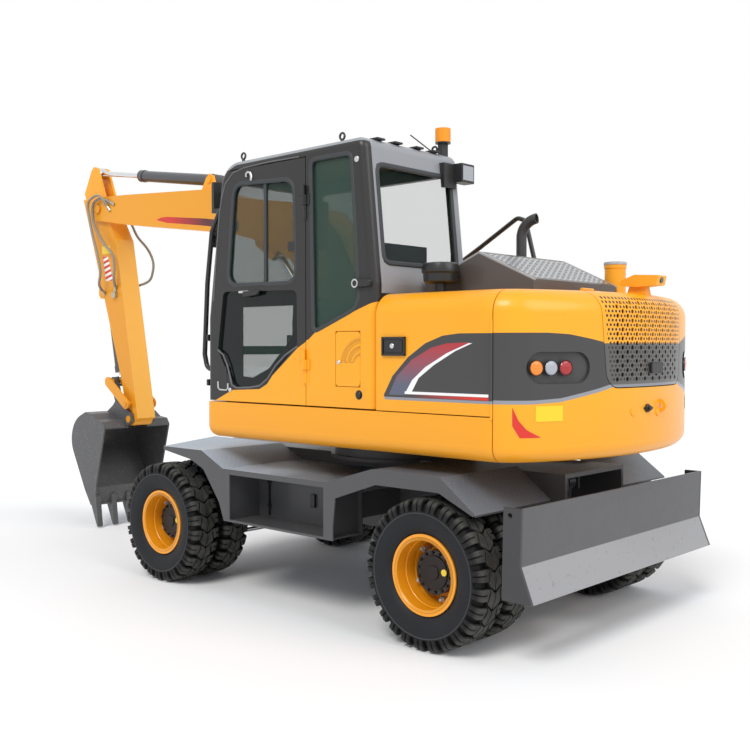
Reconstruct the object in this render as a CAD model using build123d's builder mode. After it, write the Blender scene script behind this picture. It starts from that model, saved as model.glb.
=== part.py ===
from build123d import *
from math import atan2, cos, degrees, hypot, radians, sin
import os

os.makedirs("parts", exist_ok=True)

# A wheeled excavator, in millimetres: X forward, Y to the operator's left, Z up from the ground.

# Clearances and plate thicknesses
fit = 0.3
pin_side_gap = 3
panel_gap = 6
plate = 12
thick_plate = 25

# Wheels and axles
front_axle_x = 234
rear_axle_x = -2215
axle_z = 425
tyre_radius = 425
tyre_width = 235
bead_radius = 205
rim_flange_radius = 227
rim_width = 185
rim_wall = 12
inner_wheel_y = 717.5
outer_wheel_y = 987.5
hub_radius = 125
hub_inner_y = 600
hub_outer_y = 985
spindle_radius = 45
axle_tube_radius = 72
axle_tube_end_y = 560
differential_radius = 130
kingpin_y = 515
kingpin_boss_radius = 58
kingpin_boss_height = 160
knuckle_lug = 38
steering_arm_reach = 150
track_rod_radius = 16

# Chassis
chassis_front_x = 560
chassis_rear_x = -2660
chassis_half_width = 340
chassis_top_z = 950
chassis_floor_z = 560
chassis_belly_z = 470
belly_front_x = -330
belly_rear_x = -1640
slew_x = -1165
slew_ring_radius = 500
slew_ring_bore = 380
slew_ring_top_z = 1050

# Fenders and step boxes
side_y = 1080
fender_top_z = 976
fender_wall = 10
fender_front_x = 195
fender_front_inner_x = 545
fender_inner_y = 345
fender_bend_x = -240
slope_bottom_x = -470
step_top_z = 862
step_floor_z = 520
step_box_front_x = -520
step_box_rear_x = -1450
step_box_inner_y = 800
post_width = 60
rear_slope_top_x = -1815
rear_fender_rear_x = -2331
rear_fender_tip_x = -2562
rear_fender_tip_z = 788
fender_edge_depth = 85

# Dozer blade
blade_half_width = 1058
blade_top = (-2845, 858)
blade_crease = (-2837, 556)
blade_foot = (-2910, 371)
blade_plate = 14
end_plate_top_x = -2735
end_plate_foot_x = -2725
blade_pivot_x = -1800
blade_pivot_z = 385
blade_arm_y = 270
blade_arm_plate = 30
blade_pin_radius = 25
blade_cylinder_base = (-2460, 860)
blade_cylinder_eye = (-2400, 395)
blade_barrel_length = 370
blade_lug_y = 62
blade_beam_z = 300

# Upper body
body_half_width = 1030
body_front_x = -205
body_floor_z = 1070
deck_top_z = 1315
body_top_z = 1995
tail_radius = 1860
tail_corner_radius = 280
front_corner_radius = 90
shoulder_radius = 130
sill_radius = 80
panel_wall = 40
side_door_front_x = -1815
side_door_rear_x = -2635
rear_door_top_half = 490
rear_door_foot_half = 425
rear_door_foot_z = 1462
rear_door_corner = 95
side_door_reach = 120
hood_front_x = -1830
hood_left_y = 600
hood_right_y = -330
hood_front = (-1830, 2095)
hood_shoulder = (-2040, 2160)
hood_peak = (-2232, 2240)
hood_foot = (-2610, 2065)
tank_left_y = -285
bulkhead_front_x = -1160
boom_y = -100
precleaner = (-2555, -410)
precleaner_top_z = 2202
side_hinge_radius = 7

# Cab
cab_left_y = body_half_width
cab_right_y = 130
cab_wall = 45
cab_floor_top_z = 1380
door_rear_x = -1225
cab_base_z = 1322
cab_outline = [(-243, cab_base_z), (-246, 1880), (-297, 2240), (-405, 2914), (-1712, 2922), (-1802, 2055),
               (-1802, cab_base_z)]
cab_nose_radius = 170
cab_rear_radius = 70
cab_edge_radius = 50
roof_split_z = 2858
front_post = 62
glass_depth = 20
glass_thickness = 6
windshield_sill_z = 1690
front_glass_sill_z = 1420
rear_window = (230, 930, 2180, 2765)
right_window = [(-1690, 1990), (-1690, 2790), (-470, 2790), (-380, 1990)]
quarter_window = [(-1291, 1771), (-1269, 2832), (-1618, 2832), (-1680, 1970), (-1640, 1905)]
door_window = [(-463, 2095), (-535, 2765), (-1118, 2735), (-1137, 2084)]
door_window_corner = 95
door_lower_window = [(-424, 2055), (-1145, 2039), (-1149, 1694), (-848, 1452), (-579, 1404), (-500, 1450), (-364, 1664)]
window_corner = 28
flap_front_x = -1489
flap_rear_x = -1688
flap_top_z = 1775
flap_foot_z = 1450
flap_plate = 12
side_panel_top = [(-1225, 1724), (-1249, 1728), (-1308, 1771), (-1649, 1897), (-1790, 1944), (-1830, 1960)]

# Boom: the pin places and its side outline, as (x, z)
boom_foot = (-765, 1550)
boom_tip = (2702, 3000)
boom_half_width = 130
boom_ear = 30
boom_fork_radius = 480
boom_foot_radius = 86
boom_tip_radius = 112
boom_pin_radius = 40
boom_top_line = [(2235, 3090), (1030, 3013), (595, 2895), (15, 2807), (-330, 2715)]
boom_bottom_line = [(2239, 2815), (1085, 2668), (665, 2605), (312, 2517), (20, 2377), (-250, 2100)]
boom_foot_back = [(-560, 2480), (-770, 2080), (-850, 1580)]
boom_foot_front = [(-690, 1570), (-480, 1800)]

# Arm
arm_half_width = 97
arm_tip_radius = 70
arm_ear_pin = (2869, 3376)
arm_ear_inner = 45
arm_ear_outer = 70
bucket_pivot = (2228, 1010)
guide_pivot = (2236, 1150)
bucket_cylinder_base = (2705, 2205)

# Bucket and its links
bucket_half_width = 360
bucket_plate = 14
bucket_ear_pin = (2433, 1125)
link_pin = (2529, 1352)
tooth_count = 5
tooth_width = 52
guide_plate_y = 138
guide_plate = 20
link_pin_radius = 25

# Cylinders: their pins, as (x, z)
boom_cylinder_base = (-635, 1360)
boom_cylinder_eye = (270, 2425)
arm_cylinder_base = (1065, 3105)
lug_plate = 22
boom_channel_z = 1250
eye_pocket_radius = 130
hose_radius = 12
steering_wheel_radius = 180
exhaust_x = -1986
exhaust_y = -200
exhaust_foot_z = 2140
gland_length = 60

# Rear grille, tail lamps and the rear camera
grille_plate = 8
grille_pitch = 25
grille_hole = 14
lamp_bearing = 23.5
lamp_z = 1574
lamp_recess = (400, 170)
lamp_recess_depth = 26
lamp_radius = 42
lamp_offsets = (144, 52, -40)
rear_latch = (-25, 1566)
rear_camera_y = -100
rear_camera = [(-2790, 2044), (-2790, 2074), (-2880, 2107), (-3030, 2098), (-3018, 2044), (-2900, 2034)]


def at_y(y):
    """The plane parallel to X and Z at y, with local x along X and local y along Z."""
    return Plane.XZ.offset(-y)


def heading(start, end):
    """The angle from one (x, z) point to another, in degrees above X."""
    return degrees(atan2(end[1] - start[1], end[0] - start[0]))


def distance(start, end):
    """The distance between two (x, z) points."""
    return hypot(end[0] - start[0], end[1] - start[1])


# Tyres: two on each hub, the left and right sides alike, and their rims
corners = [("front_left", front_axle_x, 1), ("front_right", front_axle_x, -1),
           ("rear_left", rear_axle_x, 1), ("rear_right", rear_axle_x, -1)]
for corner, axle_x, side in corners:
    axle_line = Axis((axle_x, 0, axle_z), (0, 1, 0))
    with BuildPart() as tyre:
        for wheel_y in (inner_wheel_y, outer_wheel_y):
            with BuildSketch(Plane.XY.offset(axle_z)):
                with BuildLine():
                    half = tyre_width / 2
                    bead = rim_width / 2 - 12
                    y = side * wheel_y
                    x = axle_x
                    Polyline(
                        (x + bead_radius + fit, y - bead),
                        (x + bead_radius + 30, y - bead),
                        (x + bead_radius + 70, y - half),
                        (x + tyre_radius - 75, y - half),
                        (x + tyre_radius - 20, y - half + 12),
                        (x + tyre_radius, y - half + 35),
                        (x + tyre_radius, y + half - 35),
                        (x + tyre_radius - 20, y + half - 12),
                        (x + tyre_radius - 75, y + half),
                        (x + bead_radius + 70, y + half),
                        (x + bead_radius + 30, y + bead),
                        (x + bead_radius + fit, y + bead),
                        close=True,
                    )
                make_face()
            revolve(axis=axle_line)
    tyre.part.label = f"tyre_{corner}"
    export_step(tyre.part, f"parts/tyre_{corner}.step")

    with BuildPart() as rim:
        with BuildSketch(Plane.XY.offset(axle_z)):
            for wheel_y in (inner_wheel_y, outer_wheel_y):
                y = side * wheel_y
                with Locations((axle_x + bead_radius - rim_wall / 2, y)):
                    Rectangle(rim_wall, rim_width)
                for edge in (-1, 1):
                    with Locations((axle_x + (bead_radius - rim_wall + rim_flange_radius) / 2,
                                    y + edge * (rim_width - 10) / 2)):
                        Rectangle(rim_flange_radius - bead_radius + rim_wall, 10)
            middle_y = side * (inner_wheel_y + outer_wheel_y) / 2
            with Locations((axle_x + bead_radius - rim_wall / 2, middle_y)):
                Rectangle(rim_wall, outer_wheel_y - inner_wheel_y - rim_width + 20)
            with Locations((axle_x + (hub_radius + bead_radius) / 2 - rim_wall / 2 - 5, middle_y)):
                Rectangle(bead_radius - hub_radius - rim_wall + 10, 24)
            hub_middle_y = side * (hub_inner_y + hub_outer_y) / 2
            with Locations((axle_x + (hub_radius + spindle_radius) / 2, hub_middle_y)):
                Rectangle(hub_radius - spindle_radius, hub_outer_y - hub_inner_y)
            with Locations((axle_x + spindle_radius / 2, side * (hub_outer_y - 30))):
                Rectangle(spindle_radius, 60)
        revolve(axis=axle_line)
    rim.part.label = f"rim_{corner}"
    export_step(rim.part, f"parts/rim_{corner}.step")

# Front axle: a beam with a boss for the kingpin at each end, hung under the frame
with BuildPart() as front_axle:
    with BuildSketch(at_y(0)):
        with Locations((front_axle_x, axle_z)):
            Circle(axle_tube_radius)
    extrude(amount=kingpin_y, both=True)
    with Locations((front_axle_x, 0, axle_z)):
        Sphere(differential_radius)
        Box(260, 220, chassis_floor_z - axle_z, align=(Align.CENTER, Align.CENTER, Align.MIN))
    for side in (-1, 1):
        with BuildSketch(Plane.XY.offset(axle_z - kingpin_boss_height / 2)):
            with Locations((front_axle_x, side * kingpin_y)):
                Circle(kingpin_boss_radius)
        extrude(amount=kingpin_boss_height)
        with Locations((front_axle_x, side * kingpin_y, axle_z)):
            Cylinder(spindle_radius - 15 + fit, kingpin_boss_height, mode=Mode.SUBTRACT)
front_axle.part.label = "front_axle"
export_step(front_axle.part, "parts/front_axle.step")

# Rear axle: a rigid tube with its differential, bolted to the frame by two saddles
with BuildPart() as rear_axle:
    with BuildSketch(at_y(0)):
        with Locations((rear_axle_x, axle_z)):
            Circle(axle_tube_radius)
    extrude(amount=axle_tube_end_y, both=True)
    with Locations((rear_axle_x, 0, axle_z)):
        Sphere(differential_radius)
    for side in (-1, 1):
        with Locations((rear_axle_x, side * (chassis_half_width - 45), axle_z)):
            Box(190, 70, chassis_floor_z - axle_z, align=(Align.CENTER, Align.CENTER, Align.MIN))
        with Locations((rear_axle_x, side * (axle_tube_end_y + 10), axle_z)):
            Cylinder(118, 20, rotation=(90, 0, 0))
        with Locations((rear_axle_x, side * (axle_tube_end_y + 20), axle_z)):
            Cylinder(spindle_radius - fit, 2 * (hub_inner_y - axle_tube_end_y + 100),
                     rotation=(90, 0, 0))
rear_axle.part.label = "rear_axle"
export_step(rear_axle.part, "parts/rear_axle.step")

# Steering knuckles: a fork over the kingpin boss, the spindle and the steering arm
knuckle_top = kingpin_boss_height / 2 + fit
for name, side in (("knuckle_left", 1), ("knuckle_right", -1)):
    with BuildPart() as knuckle:
        for level in (-1, 1):
            with Locations((front_axle_x, side * kingpin_y,
                            axle_z + level * (knuckle_top + knuckle_lug / 2))):
                Cylinder(kingpin_boss_radius, knuckle_lug)
                with Locations((0, side * 35, 0)):
                    Box(2 * kingpin_boss_radius, 70, knuckle_lug)
        with Locations((front_axle_x, side * kingpin_y, axle_z)):
            Cylinder(spindle_radius - 15, 2 * knuckle_top + knuckle_lug)
        with Locations((front_axle_x, side * (hub_inner_y - fit - 8), axle_z)):
            Cylinder(118, 16, rotation=(90, 0, 0))
        with Locations((front_axle_x, side * (hub_inner_y + 40), axle_z)):
            Cylinder(spindle_radius - fit, 120, rotation=(90, 0, 0))
        with Locations((front_axle_x - steering_arm_reach / 2 - 20, side * (kingpin_y - 5),
                        axle_z - knuckle_top - knuckle_lug / 2)):
            Box(steering_arm_reach + 10, 44, 24)
    knuckle.part.label = name
    export_step(knuckle.part, f"parts/{name}.step")

# Track rod: it joins the two steering arms behind the axle
track_rod_x = front_axle_x - steering_arm_reach
track_rod_z = axle_z - knuckle_top - knuckle_lug / 2 - 12 - fit - track_rod_radius
with BuildPart() as track_rod:
    with BuildSketch(at_y(0)):
        with Locations((track_rod_x, track_rod_z)):
            Circle(track_rod_radius)
    extrude(amount=kingpin_y - 5, both=True)
    for side in (-1, 1):
        with Locations((track_rod_x, side * (kingpin_y - 5), track_rod_z)):
            Cylinder(24, 2 * track_rod_radius)
track_rod.part.label = "track_rod"
export_step(track_rod.part, "parts/track_rod.step")

# Chassis frame: two long side plates, a deck under the slewing ring and cross members
with BuildPart() as chassis_frame:
    for side in (-1, 1):
        with BuildSketch(at_y(side * (chassis_half_width - thick_plate / 2))):
            with BuildLine():
                Polyline(
                    (chassis_rear_x, chassis_floor_z),
                    (belly_rear_x - 150, chassis_floor_z),
                    (belly_rear_x, chassis_belly_z),
                    (belly_front_x, chassis_belly_z),
                    (belly_front_x + 150, chassis_floor_z),
                    (chassis_front_x, chassis_floor_z),
                    (chassis_front_x, chassis_top_z - thick_plate),
                    (chassis_rear_x, chassis_top_z - thick_plate),
                    close=True,
                )
            make_face()
        extrude(amount=thick_plate / 2, both=True)
    frame_length = chassis_front_x - chassis_rear_x
    with Locations((chassis_rear_x, 0, chassis_top_z - thick_plate)):
        Box(frame_length, 2 * chassis_half_width, thick_plate, align=(Align.MIN, Align.CENTER, Align.MIN))
    with Locations((slew_x, 0, chassis_top_z - thick_plate)):
        Cylinder(slew_ring_radius + 30, thick_plate, align=(Align.CENTER, Align.CENTER, Align.MIN))
    with Locations((belly_rear_x, 0, chassis_belly_z)):
        Box(belly_front_x - belly_rear_x, 2 * chassis_half_width, thick_plate,
            align=(Align.MIN, Align.CENTER, Align.MIN))
    with Locations((chassis_front_x, 0, chassis_floor_z)):
        Box(thick_plate, 2 * chassis_half_width, chassis_top_z - chassis_floor_z,
            align=(Align.MAX, Align.CENTER, Align.MIN))
    with Locations((belly_rear_x, 0, chassis_belly_z)):
        Box(thick_plate, 2 * chassis_half_width, chassis_top_z - chassis_belly_z,
            align=(Align.CENTER, Align.CENTER, Align.MIN))
    for axle_x in (front_axle_x, rear_axle_x):
        with Locations((axle_x, 0, chassis_floor_z)):
            Box(300, 2 * chassis_half_width, thick_plate, align=(Align.CENTER, Align.CENTER, Align.MIN))
    for side in (-1, 1):
        with BuildSketch(at_y(side * (blade_arm_y - blade_arm_plate / 2 - 20))):
            with BuildLine():
                Polyline(
                    (blade_pivot_x - 50, blade_pivot_z + 30),
                    (blade_pivot_x - 40, blade_pivot_z - 40),
                    (blade_pivot_x + 40, blade_pivot_z - 40),
                    (belly_rear_x, chassis_belly_z),
                    (belly_rear_x, chassis_floor_z + 40),
                    close=True,
                )
            make_face()
        extrude(amount=10, both=True)
        with BuildSketch(at_y(side * blade_arm_y)):
            with Locations((blade_pivot_x, blade_pivot_z)):
                Circle(blade_pin_radius)
        extrude(amount=blade_arm_plate / 2 + 30, both=True)
    for side in (-1, 1):
        with Locations((blade_cylinder_base[0], side * blade_lug_y, blade_cylinder_base[1] - 45)):
            Box(100, 20, chassis_top_z - blade_cylinder_base[1] + 25,
                align=(Align.CENTER, Align.CENTER, Align.MIN))
    with BuildSketch(at_y(0)):
        with Locations(blade_cylinder_base):
            Circle(blade_pin_radius)
    extrude(amount=blade_lug_y + 16, both=True)
chassis_frame.part.label = "chassis_frame"
export_step(chassis_frame.part, "parts/chassis_frame.step")

# Slewing ring, bolted to the chassis
with BuildPart() as slewing_ring:
    with BuildSketch(Plane.XY.offset(chassis_top_z)):
        with Locations((slew_x, 0)):
            Circle(slew_ring_radius)
            Circle(slew_ring_bore, mode=Mode.SUBTRACT)
    extrude(amount=slew_ring_top_z - chassis_top_z)
slewing_ring.part.label = "slewing_ring"
export_step(slewing_ring.part, "parts/slewing_ring.step")

# Fenders: tread-plate wings over each wheel pair, joined by an open step box on each side
for name, side in (("fender_left", 1), ("fender_right", -1)):
    with BuildPart() as fender:
        with BuildSketch(at_y(side * (side_y - fender_wall / 2))):
            with BuildLine():
                Polyline(
                    (fender_front_x, fender_top_z),
                    (fender_front_x, fender_top_z - 25),
                    (fender_bend_x + 120, 905),
                    (fender_bend_x - 20, 850),
                    (step_box_front_x + 90, 640),
                    (step_box_front_x + 40, step_floor_z),
                    (step_box_rear_x - post_width, step_floor_z),
                    (step_box_rear_x - post_width, 600),
                    (step_box_rear_x - post_width - 20, 780),
                    (rear_slope_top_x - 40, fender_top_z - fender_edge_depth),
                    (rear_fender_rear_x + 10, fender_top_z - fender_edge_depth),
                    (rear_fender_tip_x + 10, rear_fender_tip_z),
                    (rear_fender_tip_x - 10, rear_fender_tip_z + 8),
                    (rear_fender_rear_x, fender_top_z),
                    (rear_slope_top_x, fender_top_z),
                    (step_box_rear_x, step_top_z + 8),
                    (slope_bottom_x, step_top_z + 8),
                    (fender_bend_x, fender_top_z),
                    close=True,
                )
            make_face()
        extrude(amount=fender_wall / 2, both=True)
        with BuildSketch(at_y(side * (side_y + step_box_inner_y) / 2)):
            with Locations(((step_box_front_x + step_box_rear_x) / 2, (step_top_z + step_floor_z) / 2 - 6)):
                Rectangle(step_box_front_x - step_box_rear_x - 40, step_top_z - step_floor_z - 42)
        extrude(amount=(side_y - step_box_inner_y) / 2 + 1, both=True, mode=Mode.SUBTRACT)
        top_line = [(fender_front_x, fender_top_z), (fender_bend_x, fender_top_z),
                    (slope_bottom_x, step_top_z + 8), (step_box_rear_x, step_top_z + 8),
                    (rear_slope_top_x, fender_top_z), (rear_fender_rear_x, fender_top_z),
                    (rear_fender_tip_x - 10, rear_fender_tip_z + 8)]
        with BuildSketch(at_y(side * side_y)):
            with BuildLine():
                Polyline(*top_line, *[(x, z - fender_wall) for x, z in reversed(top_line)], close=True)
            make_face()
        extrude(amount=side * (side_y - fender_inner_y))
        with BuildSketch(Plane.XY.offset(fender_top_z - fender_wall)):
            with BuildLine():
                Polyline(
                    (fender_front_x, side * side_y),
                    (fender_front_inner_x, side * fender_inner_y),
                    (fender_front_x - 10, side * fender_inner_y),
                    (fender_front_x - 10, side * side_y),
                    close=True,
                )
            make_face()
        extrude(amount=fender_wall)
        box_middle_x = (step_box_front_x + step_box_rear_x) / 2
        with Locations((box_middle_x, side * (side_y + step_box_inner_y) / 2, step_floor_z)):
            Box(step_box_front_x - step_box_rear_x + 2 * 40, side_y - step_box_inner_y, fender_wall,
                align=(Align.CENTER, Align.CENTER, Align.MIN))
        with Locations((box_middle_x, side * step_box_inner_y, step_floor_z)):
            Box(step_box_front_x - step_box_rear_x + 2 * 40, fender_wall, step_top_z - step_floor_z,
                align=(Align.CENTER, Align.CENTER, Align.MIN))
        for end_x in (step_box_front_x, step_box_rear_x):
            with Locations((end_x, side * (side_y + step_box_inner_y) / 2, step_floor_z)):
                Box(fender_wall, side_y - step_box_inner_y, step_top_z - step_floor_z,
                    align=(Align.CENTER, Align.CENTER, Align.MIN))
        for bracket_x in (step_box_front_x - 60, step_box_rear_x + 60):
            with Locations((bracket_x, side * (chassis_half_width + fit), 600)):
                Box(thick_plate, step_box_inner_y - chassis_half_width, 160,
                    align=(Align.CENTER, Align.MIN if side > 0 else Align.MAX, Align.MIN))
    fender.part.label = name
    export_step(fender.part, f"parts/{name}.step")

# Dozer blade: a creased mouldboard between two end plates, carried by two long arms
with BuildPart() as blade:
    with BuildSketch(at_y(0)):
        with BuildLine():
            Polyline(
                blade_top,
                blade_crease,
                blade_foot,
                (blade_foot[0] + 2 * blade_plate, blade_foot[1]),
                (blade_crease[0] + blade_plate, blade_crease[1] + 5),
                (blade_top[0] + blade_plate, blade_top[1]),
                close=True,
            )
        make_face()
    extrude(amount=blade_half_width, both=True)
    for side in (-1, 1):
        with BuildSketch(at_y(side * (blade_half_width - 8))):
            with BuildLine():
                Polyline(
                    blade_top,
                    blade_crease,
                    blade_foot,
                    (end_plate_foot_x, blade_foot[1]),
                    (end_plate_top_x, blade_top[1]),
                    close=True,
                )
            make_face()
            with Locations((end_plate_top_x - 40, blade_top[1] - 40)):
                Circle(14, mode=Mode.SUBTRACT)
        extrude(amount=8, both=True)
    with Locations((blade_crease[0] + 60, 0, blade_crease[1] - 60)):
        Box(100, 2 * blade_half_width - 20, 70)
    for side in (-1, 1):
        with BuildSketch(at_y(side * blade_arm_y)):
            with BuildLine():
                Polyline(
                    (blade_crease[0] + 5, 640),
                    (blade_crease[0] + 5, 420),
                    (-2560, 330),
                    (-2300, 215),
                    (-2060, 215),
                    (blade_pivot_x + 10, blade_pivot_z - 45),
                    (blade_pivot_x + 45, blade_pivot_z - 10),
                    (blade_pivot_x + 45, blade_pivot_z + 20),
                    (blade_pivot_x, blade_pivot_z + 45),
                    (-2080, 320),
                    (-2290, 320),
                    (-2520, 450),
                    (-2740, 640),
                    close=True,
                )
            make_face()
            with Locations((blade_pivot_x, blade_pivot_z)):
                Circle(blade_pin_radius + fit, mode=Mode.SUBTRACT)
        extrude(amount=blade_arm_plate / 2, both=True)
    with Locations((-2640, 0, 420)):
        Box(60, 2 * blade_arm_y, 70)
    with Locations((blade_cylinder_eye[0] - 5, 0, blade_beam_z)):
        Box(100, 2 * blade_arm_y, 50)
    for side in (-1, 1):
        with BuildSketch(at_y(side * blade_lug_y)):
            with BuildLine():
                Polyline(
                    (blade_cylinder_eye[0] - 55, blade_beam_z),
                    (blade_cylinder_eye[0] - 30, blade_cylinder_eye[1] + 20),
                    (blade_cylinder_eye[0], blade_cylinder_eye[1] + 40),
                    (blade_cylinder_eye[0] + 30, blade_cylinder_eye[1] + 20),
                    (blade_cylinder_eye[0] + 45, blade_beam_z),
                    close=True,
                )
            make_face()
        extrude(amount=10, both=True)
blade.part.label = "blade"
export_step(blade.part, "parts/blade.step")

# Upper body's outline: straight sides, a round tail about the slewing axis and rounded corners
corner_x = slew_x - (tail_radius ** 2 - body_half_width ** 2) ** 0.5
with BuildSketch(Plane.XY.offset(body_floor_z)) as body_outline:
    with BuildLine():
        Line((corner_x, -body_half_width), (body_front_x, -body_half_width))
        Line((body_front_x, -body_half_width), (body_front_x, body_half_width))
        Line((body_front_x, body_half_width), (corner_x, body_half_width))
        ThreePointArc((corner_x, body_half_width), (slew_x - tail_radius, 0), (corner_x, -body_half_width))
    make_face()
    fillet(body_outline.vertices().group_by(Axis.X)[0], tail_corner_radius)
    fillet(body_outline.vertices().group_by(Axis.X)[-1], front_corner_radius)

with BuildPart() as body_block:
    add(body_outline.sketch)
    extrude(amount=body_top_z - body_floor_z)
    fillet(body_block.faces().sort_by(Axis.Z)[-1].edges(), shoulder_radius)
    fillet(body_block.faces().sort_by(Axis.Z)[0].edges(), sill_radius)

with BuildPart() as body_cavity:
    with BuildSketch(Plane.XY.offset(deck_top_z)):
        add(body_outline.sketch_local)
        offset(amount=-panel_wall, kind=Kind.ARC)
    extrude(amount=body_top_z - panel_wall - deck_top_z)
    fillet(body_cavity.faces().sort_by(Axis.Z)[-1].edges(), shoulder_radius - panel_wall)

# The seam above the deck, and the line on which a side door turns
seam_low_z = deck_top_z - panel_gap / 2
side_hinge = (side_door_rear_x + panel_gap, body_half_width - 8)

# Deck: the lower body from the nose to the counterweight, with the lugs for boom and cylinder
with BuildPart() as deck:
    add(body_block.part)
    with Locations((side_door_rear_x + panel_gap / 2, 0, body_floor_z)):
        Box(body_front_x - side_door_rear_x, 2 * body_half_width, seam_low_z - body_floor_z,
            align=(Align.MIN, Align.CENTER, Align.MIN), mode=Mode.INTERSECT)
    for pad_x in (-420, -1680):
        for pad_y in (cab_right_y + 120, cab_left_y - 150):
            with Locations((pad_x, pad_y, seam_low_z)):
                Box(140, 140, cab_base_z - fit - seam_low_z, align=(Align.CENTER, Align.CENTER, Align.MIN))
    for side in (-1, 1):
        with Locations((side_hinge[0], side * side_hinge[1], seam_low_z - 10)):
            Cylinder(side_hinge_radius, panel_gap + 10 - fit, align=(Align.CENTER, Align.CENTER, Align.MIN))
    with Locations((boom_cylinder_base[0] - 125, boom_y, boom_channel_z)):
        Box(body_front_x - boom_cylinder_base[0] + 200, 2 * (boom_half_width + pin_side_gap), 400,
            align=(Align.MIN, Align.CENTER, Align.MIN), mode=Mode.SUBTRACT)
    with Locations((slew_x, 0, slew_ring_top_z + fit)):
        Cylinder(slew_ring_radius - 20, body_floor_z - slew_ring_top_z + 20,
                 align=(Align.CENTER, Align.CENTER, Align.MIN))
    for side in (-1, 1):
        with BuildSketch(at_y(boom_y + side * (boom_half_width + pin_side_gap + thick_plate / 2))):
            with BuildLine():
                Polyline(
                    (boom_foot[0] - 260, deck_top_z - 20),
                    (boom_foot[0] - 105, boom_foot[1] + 60),
                    (boom_foot[0], boom_foot[1] + 105),
                    (boom_foot[0] + 105, boom_foot[1] + 30),
                    (boom_cylinder_base[0] + 90, boom_cylinder_base[1] + 60),
                    (boom_cylinder_base[0] + 110, deck_top_z - 20),
                    close=True,
                )
            make_face()
        extrude(amount=thick_plate / 2, both=True)
    for pin, radius in ((boom_foot, boom_pin_radius), (boom_cylinder_base, boom_pin_radius - 5)):
        with BuildSketch(at_y(boom_y)):
            with Locations(pin):
                Circle(radius)
        extrude(amount=boom_half_width + pin_side_gap + thick_plate + 15, both=True)
deck.part.label = "deck"
export_step(deck.part, "parts/deck.step")

# Hinges: the rear door's at its top edge, the cab door's on the outside of its rear edge
hinge_radius = 10
hinge_length = 60
rear_door_depth = 300
rear_hinge = (slew_x - tail_radius - 50 + rear_door_depth - panel_gap / 2, body_top_z + 12)
rear_hinges_y = (-250, 310)
cab_hinge = (door_rear_x + 3, cab_left_y + 15)
cab_hinges_z = (1606, 2620)

# Rear body casting: the round tail with the engine bay inside, open where the rear door sits
with BuildSketch(Plane.YZ.offset(slew_x - tail_radius - 50)) as rear_door_outline:
    with BuildLine():
        Polyline(
            (-rear_door_top_half, body_top_z + 100),
            (-rear_door_foot_half, rear_door_foot_z),
            (rear_door_foot_half, rear_door_foot_z),
            (rear_door_top_half, body_top_z + 100),
            close=True,
        )
    make_face()
    fillet(rear_door_outline.vertices().group_by(Axis.Y)[0], rear_door_corner)

with BuildPart() as tail:
    add(body_block.part)
    with Locations((side_door_rear_x - panel_gap / 2, 0, body_floor_z)):
        Box(1000, 2 * body_half_width, body_top_z, align=(Align.MAX, Align.CENTER, Align.MIN),
            mode=Mode.INTERSECT)
    add(body_cavity.part, mode=Mode.SUBTRACT)
    with BuildSketch(Plane.YZ.offset(slew_x - tail_radius - 50)):
        add(rear_door_outline.sketch_local)
        offset(amount=panel_gap, kind=Kind.ARC)
    extrude(amount=rear_door_depth, mode=Mode.SUBTRACT)
    with Locations((side_door_rear_x + panel_gap / 2 - fit, 0, body_floor_z + 60)):
        Box(60, 1.2 * body_half_width, 120, align=(Align.MAX, Align.CENTER, Align.MIN))
    for side in (-1, 1):
        bearing = radians(180 - side * lamp_bearing)
        outward = Vector(cos(bearing), sin(bearing), 0)
        lamp_plane = Plane(origin=Vector(slew_x, 0, lamp_z) + outward * tail_radius,
                           x_dir=(side * sin(bearing), -side * cos(bearing), 0), z_dir=outward)
        with BuildSketch(lamp_plane):
            SlotOverall(*lamp_recess)
        extrude(amount=-lamp_recess_depth, mode=Mode.SUBTRACT)
        with BuildSketch(lamp_plane.offset(-lamp_recess_depth)):
            for lamp_x in lamp_offsets:
                with Locations((lamp_x, 0)):
                    Circle(lamp_radius)
        extrude(amount=lamp_recess_depth - 6)
    with BuildSketch(at_y(rear_camera_y + 10)):
        with Locations((slew_x - tail_radius, 1344)):
            Circle(38)
            Circle(18, mode=Mode.SUBTRACT)
    extrude(amount=20)
    for hinge_y in rear_hinges_y:
        with BuildSketch(at_y(hinge_y + hinge_length + fit)):
            with Locations(rear_hinge):
                Circle(hinge_radius)
            with Locations((rear_hinge[0], body_top_z - 2)):
                Rectangle(50, 8, align=(Align.MIN, Align.MIN))
        extrude(amount=hinge_length)
tail.part.label = "tail"
export_step(tail.part, "parts/tail.step")

with BuildPart() as rear_door_reach:
    with BuildSketch(Plane.YZ.offset(slew_x - tail_radius - 50)):
        add(rear_door_outline.sketch_local)
    extrude(amount=rear_door_depth - panel_gap)

with BuildPart() as grille_pocket:
    with BuildSketch(Plane.XY.offset(rear_door_foot_z + 30)):
        add(body_outline.sketch_local)
        offset(amount=-grille_plate, kind=Kind.ARC)
    extrude(amount=body_top_z - grille_plate - rear_door_foot_z - 30)
    fillet(grille_pocket.faces().sort_by(Axis.Z)[-1].edges(), shoulder_radius - grille_plate)
    with Locations((slew_x - tail_radius + 150, 0, rear_door_foot_z)):
        Box(400, 2 * rear_door_foot_half - 40, 1000, align=(Align.MAX, Align.CENTER, Align.MIN),
            mode=Mode.INTERSECT)

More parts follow.
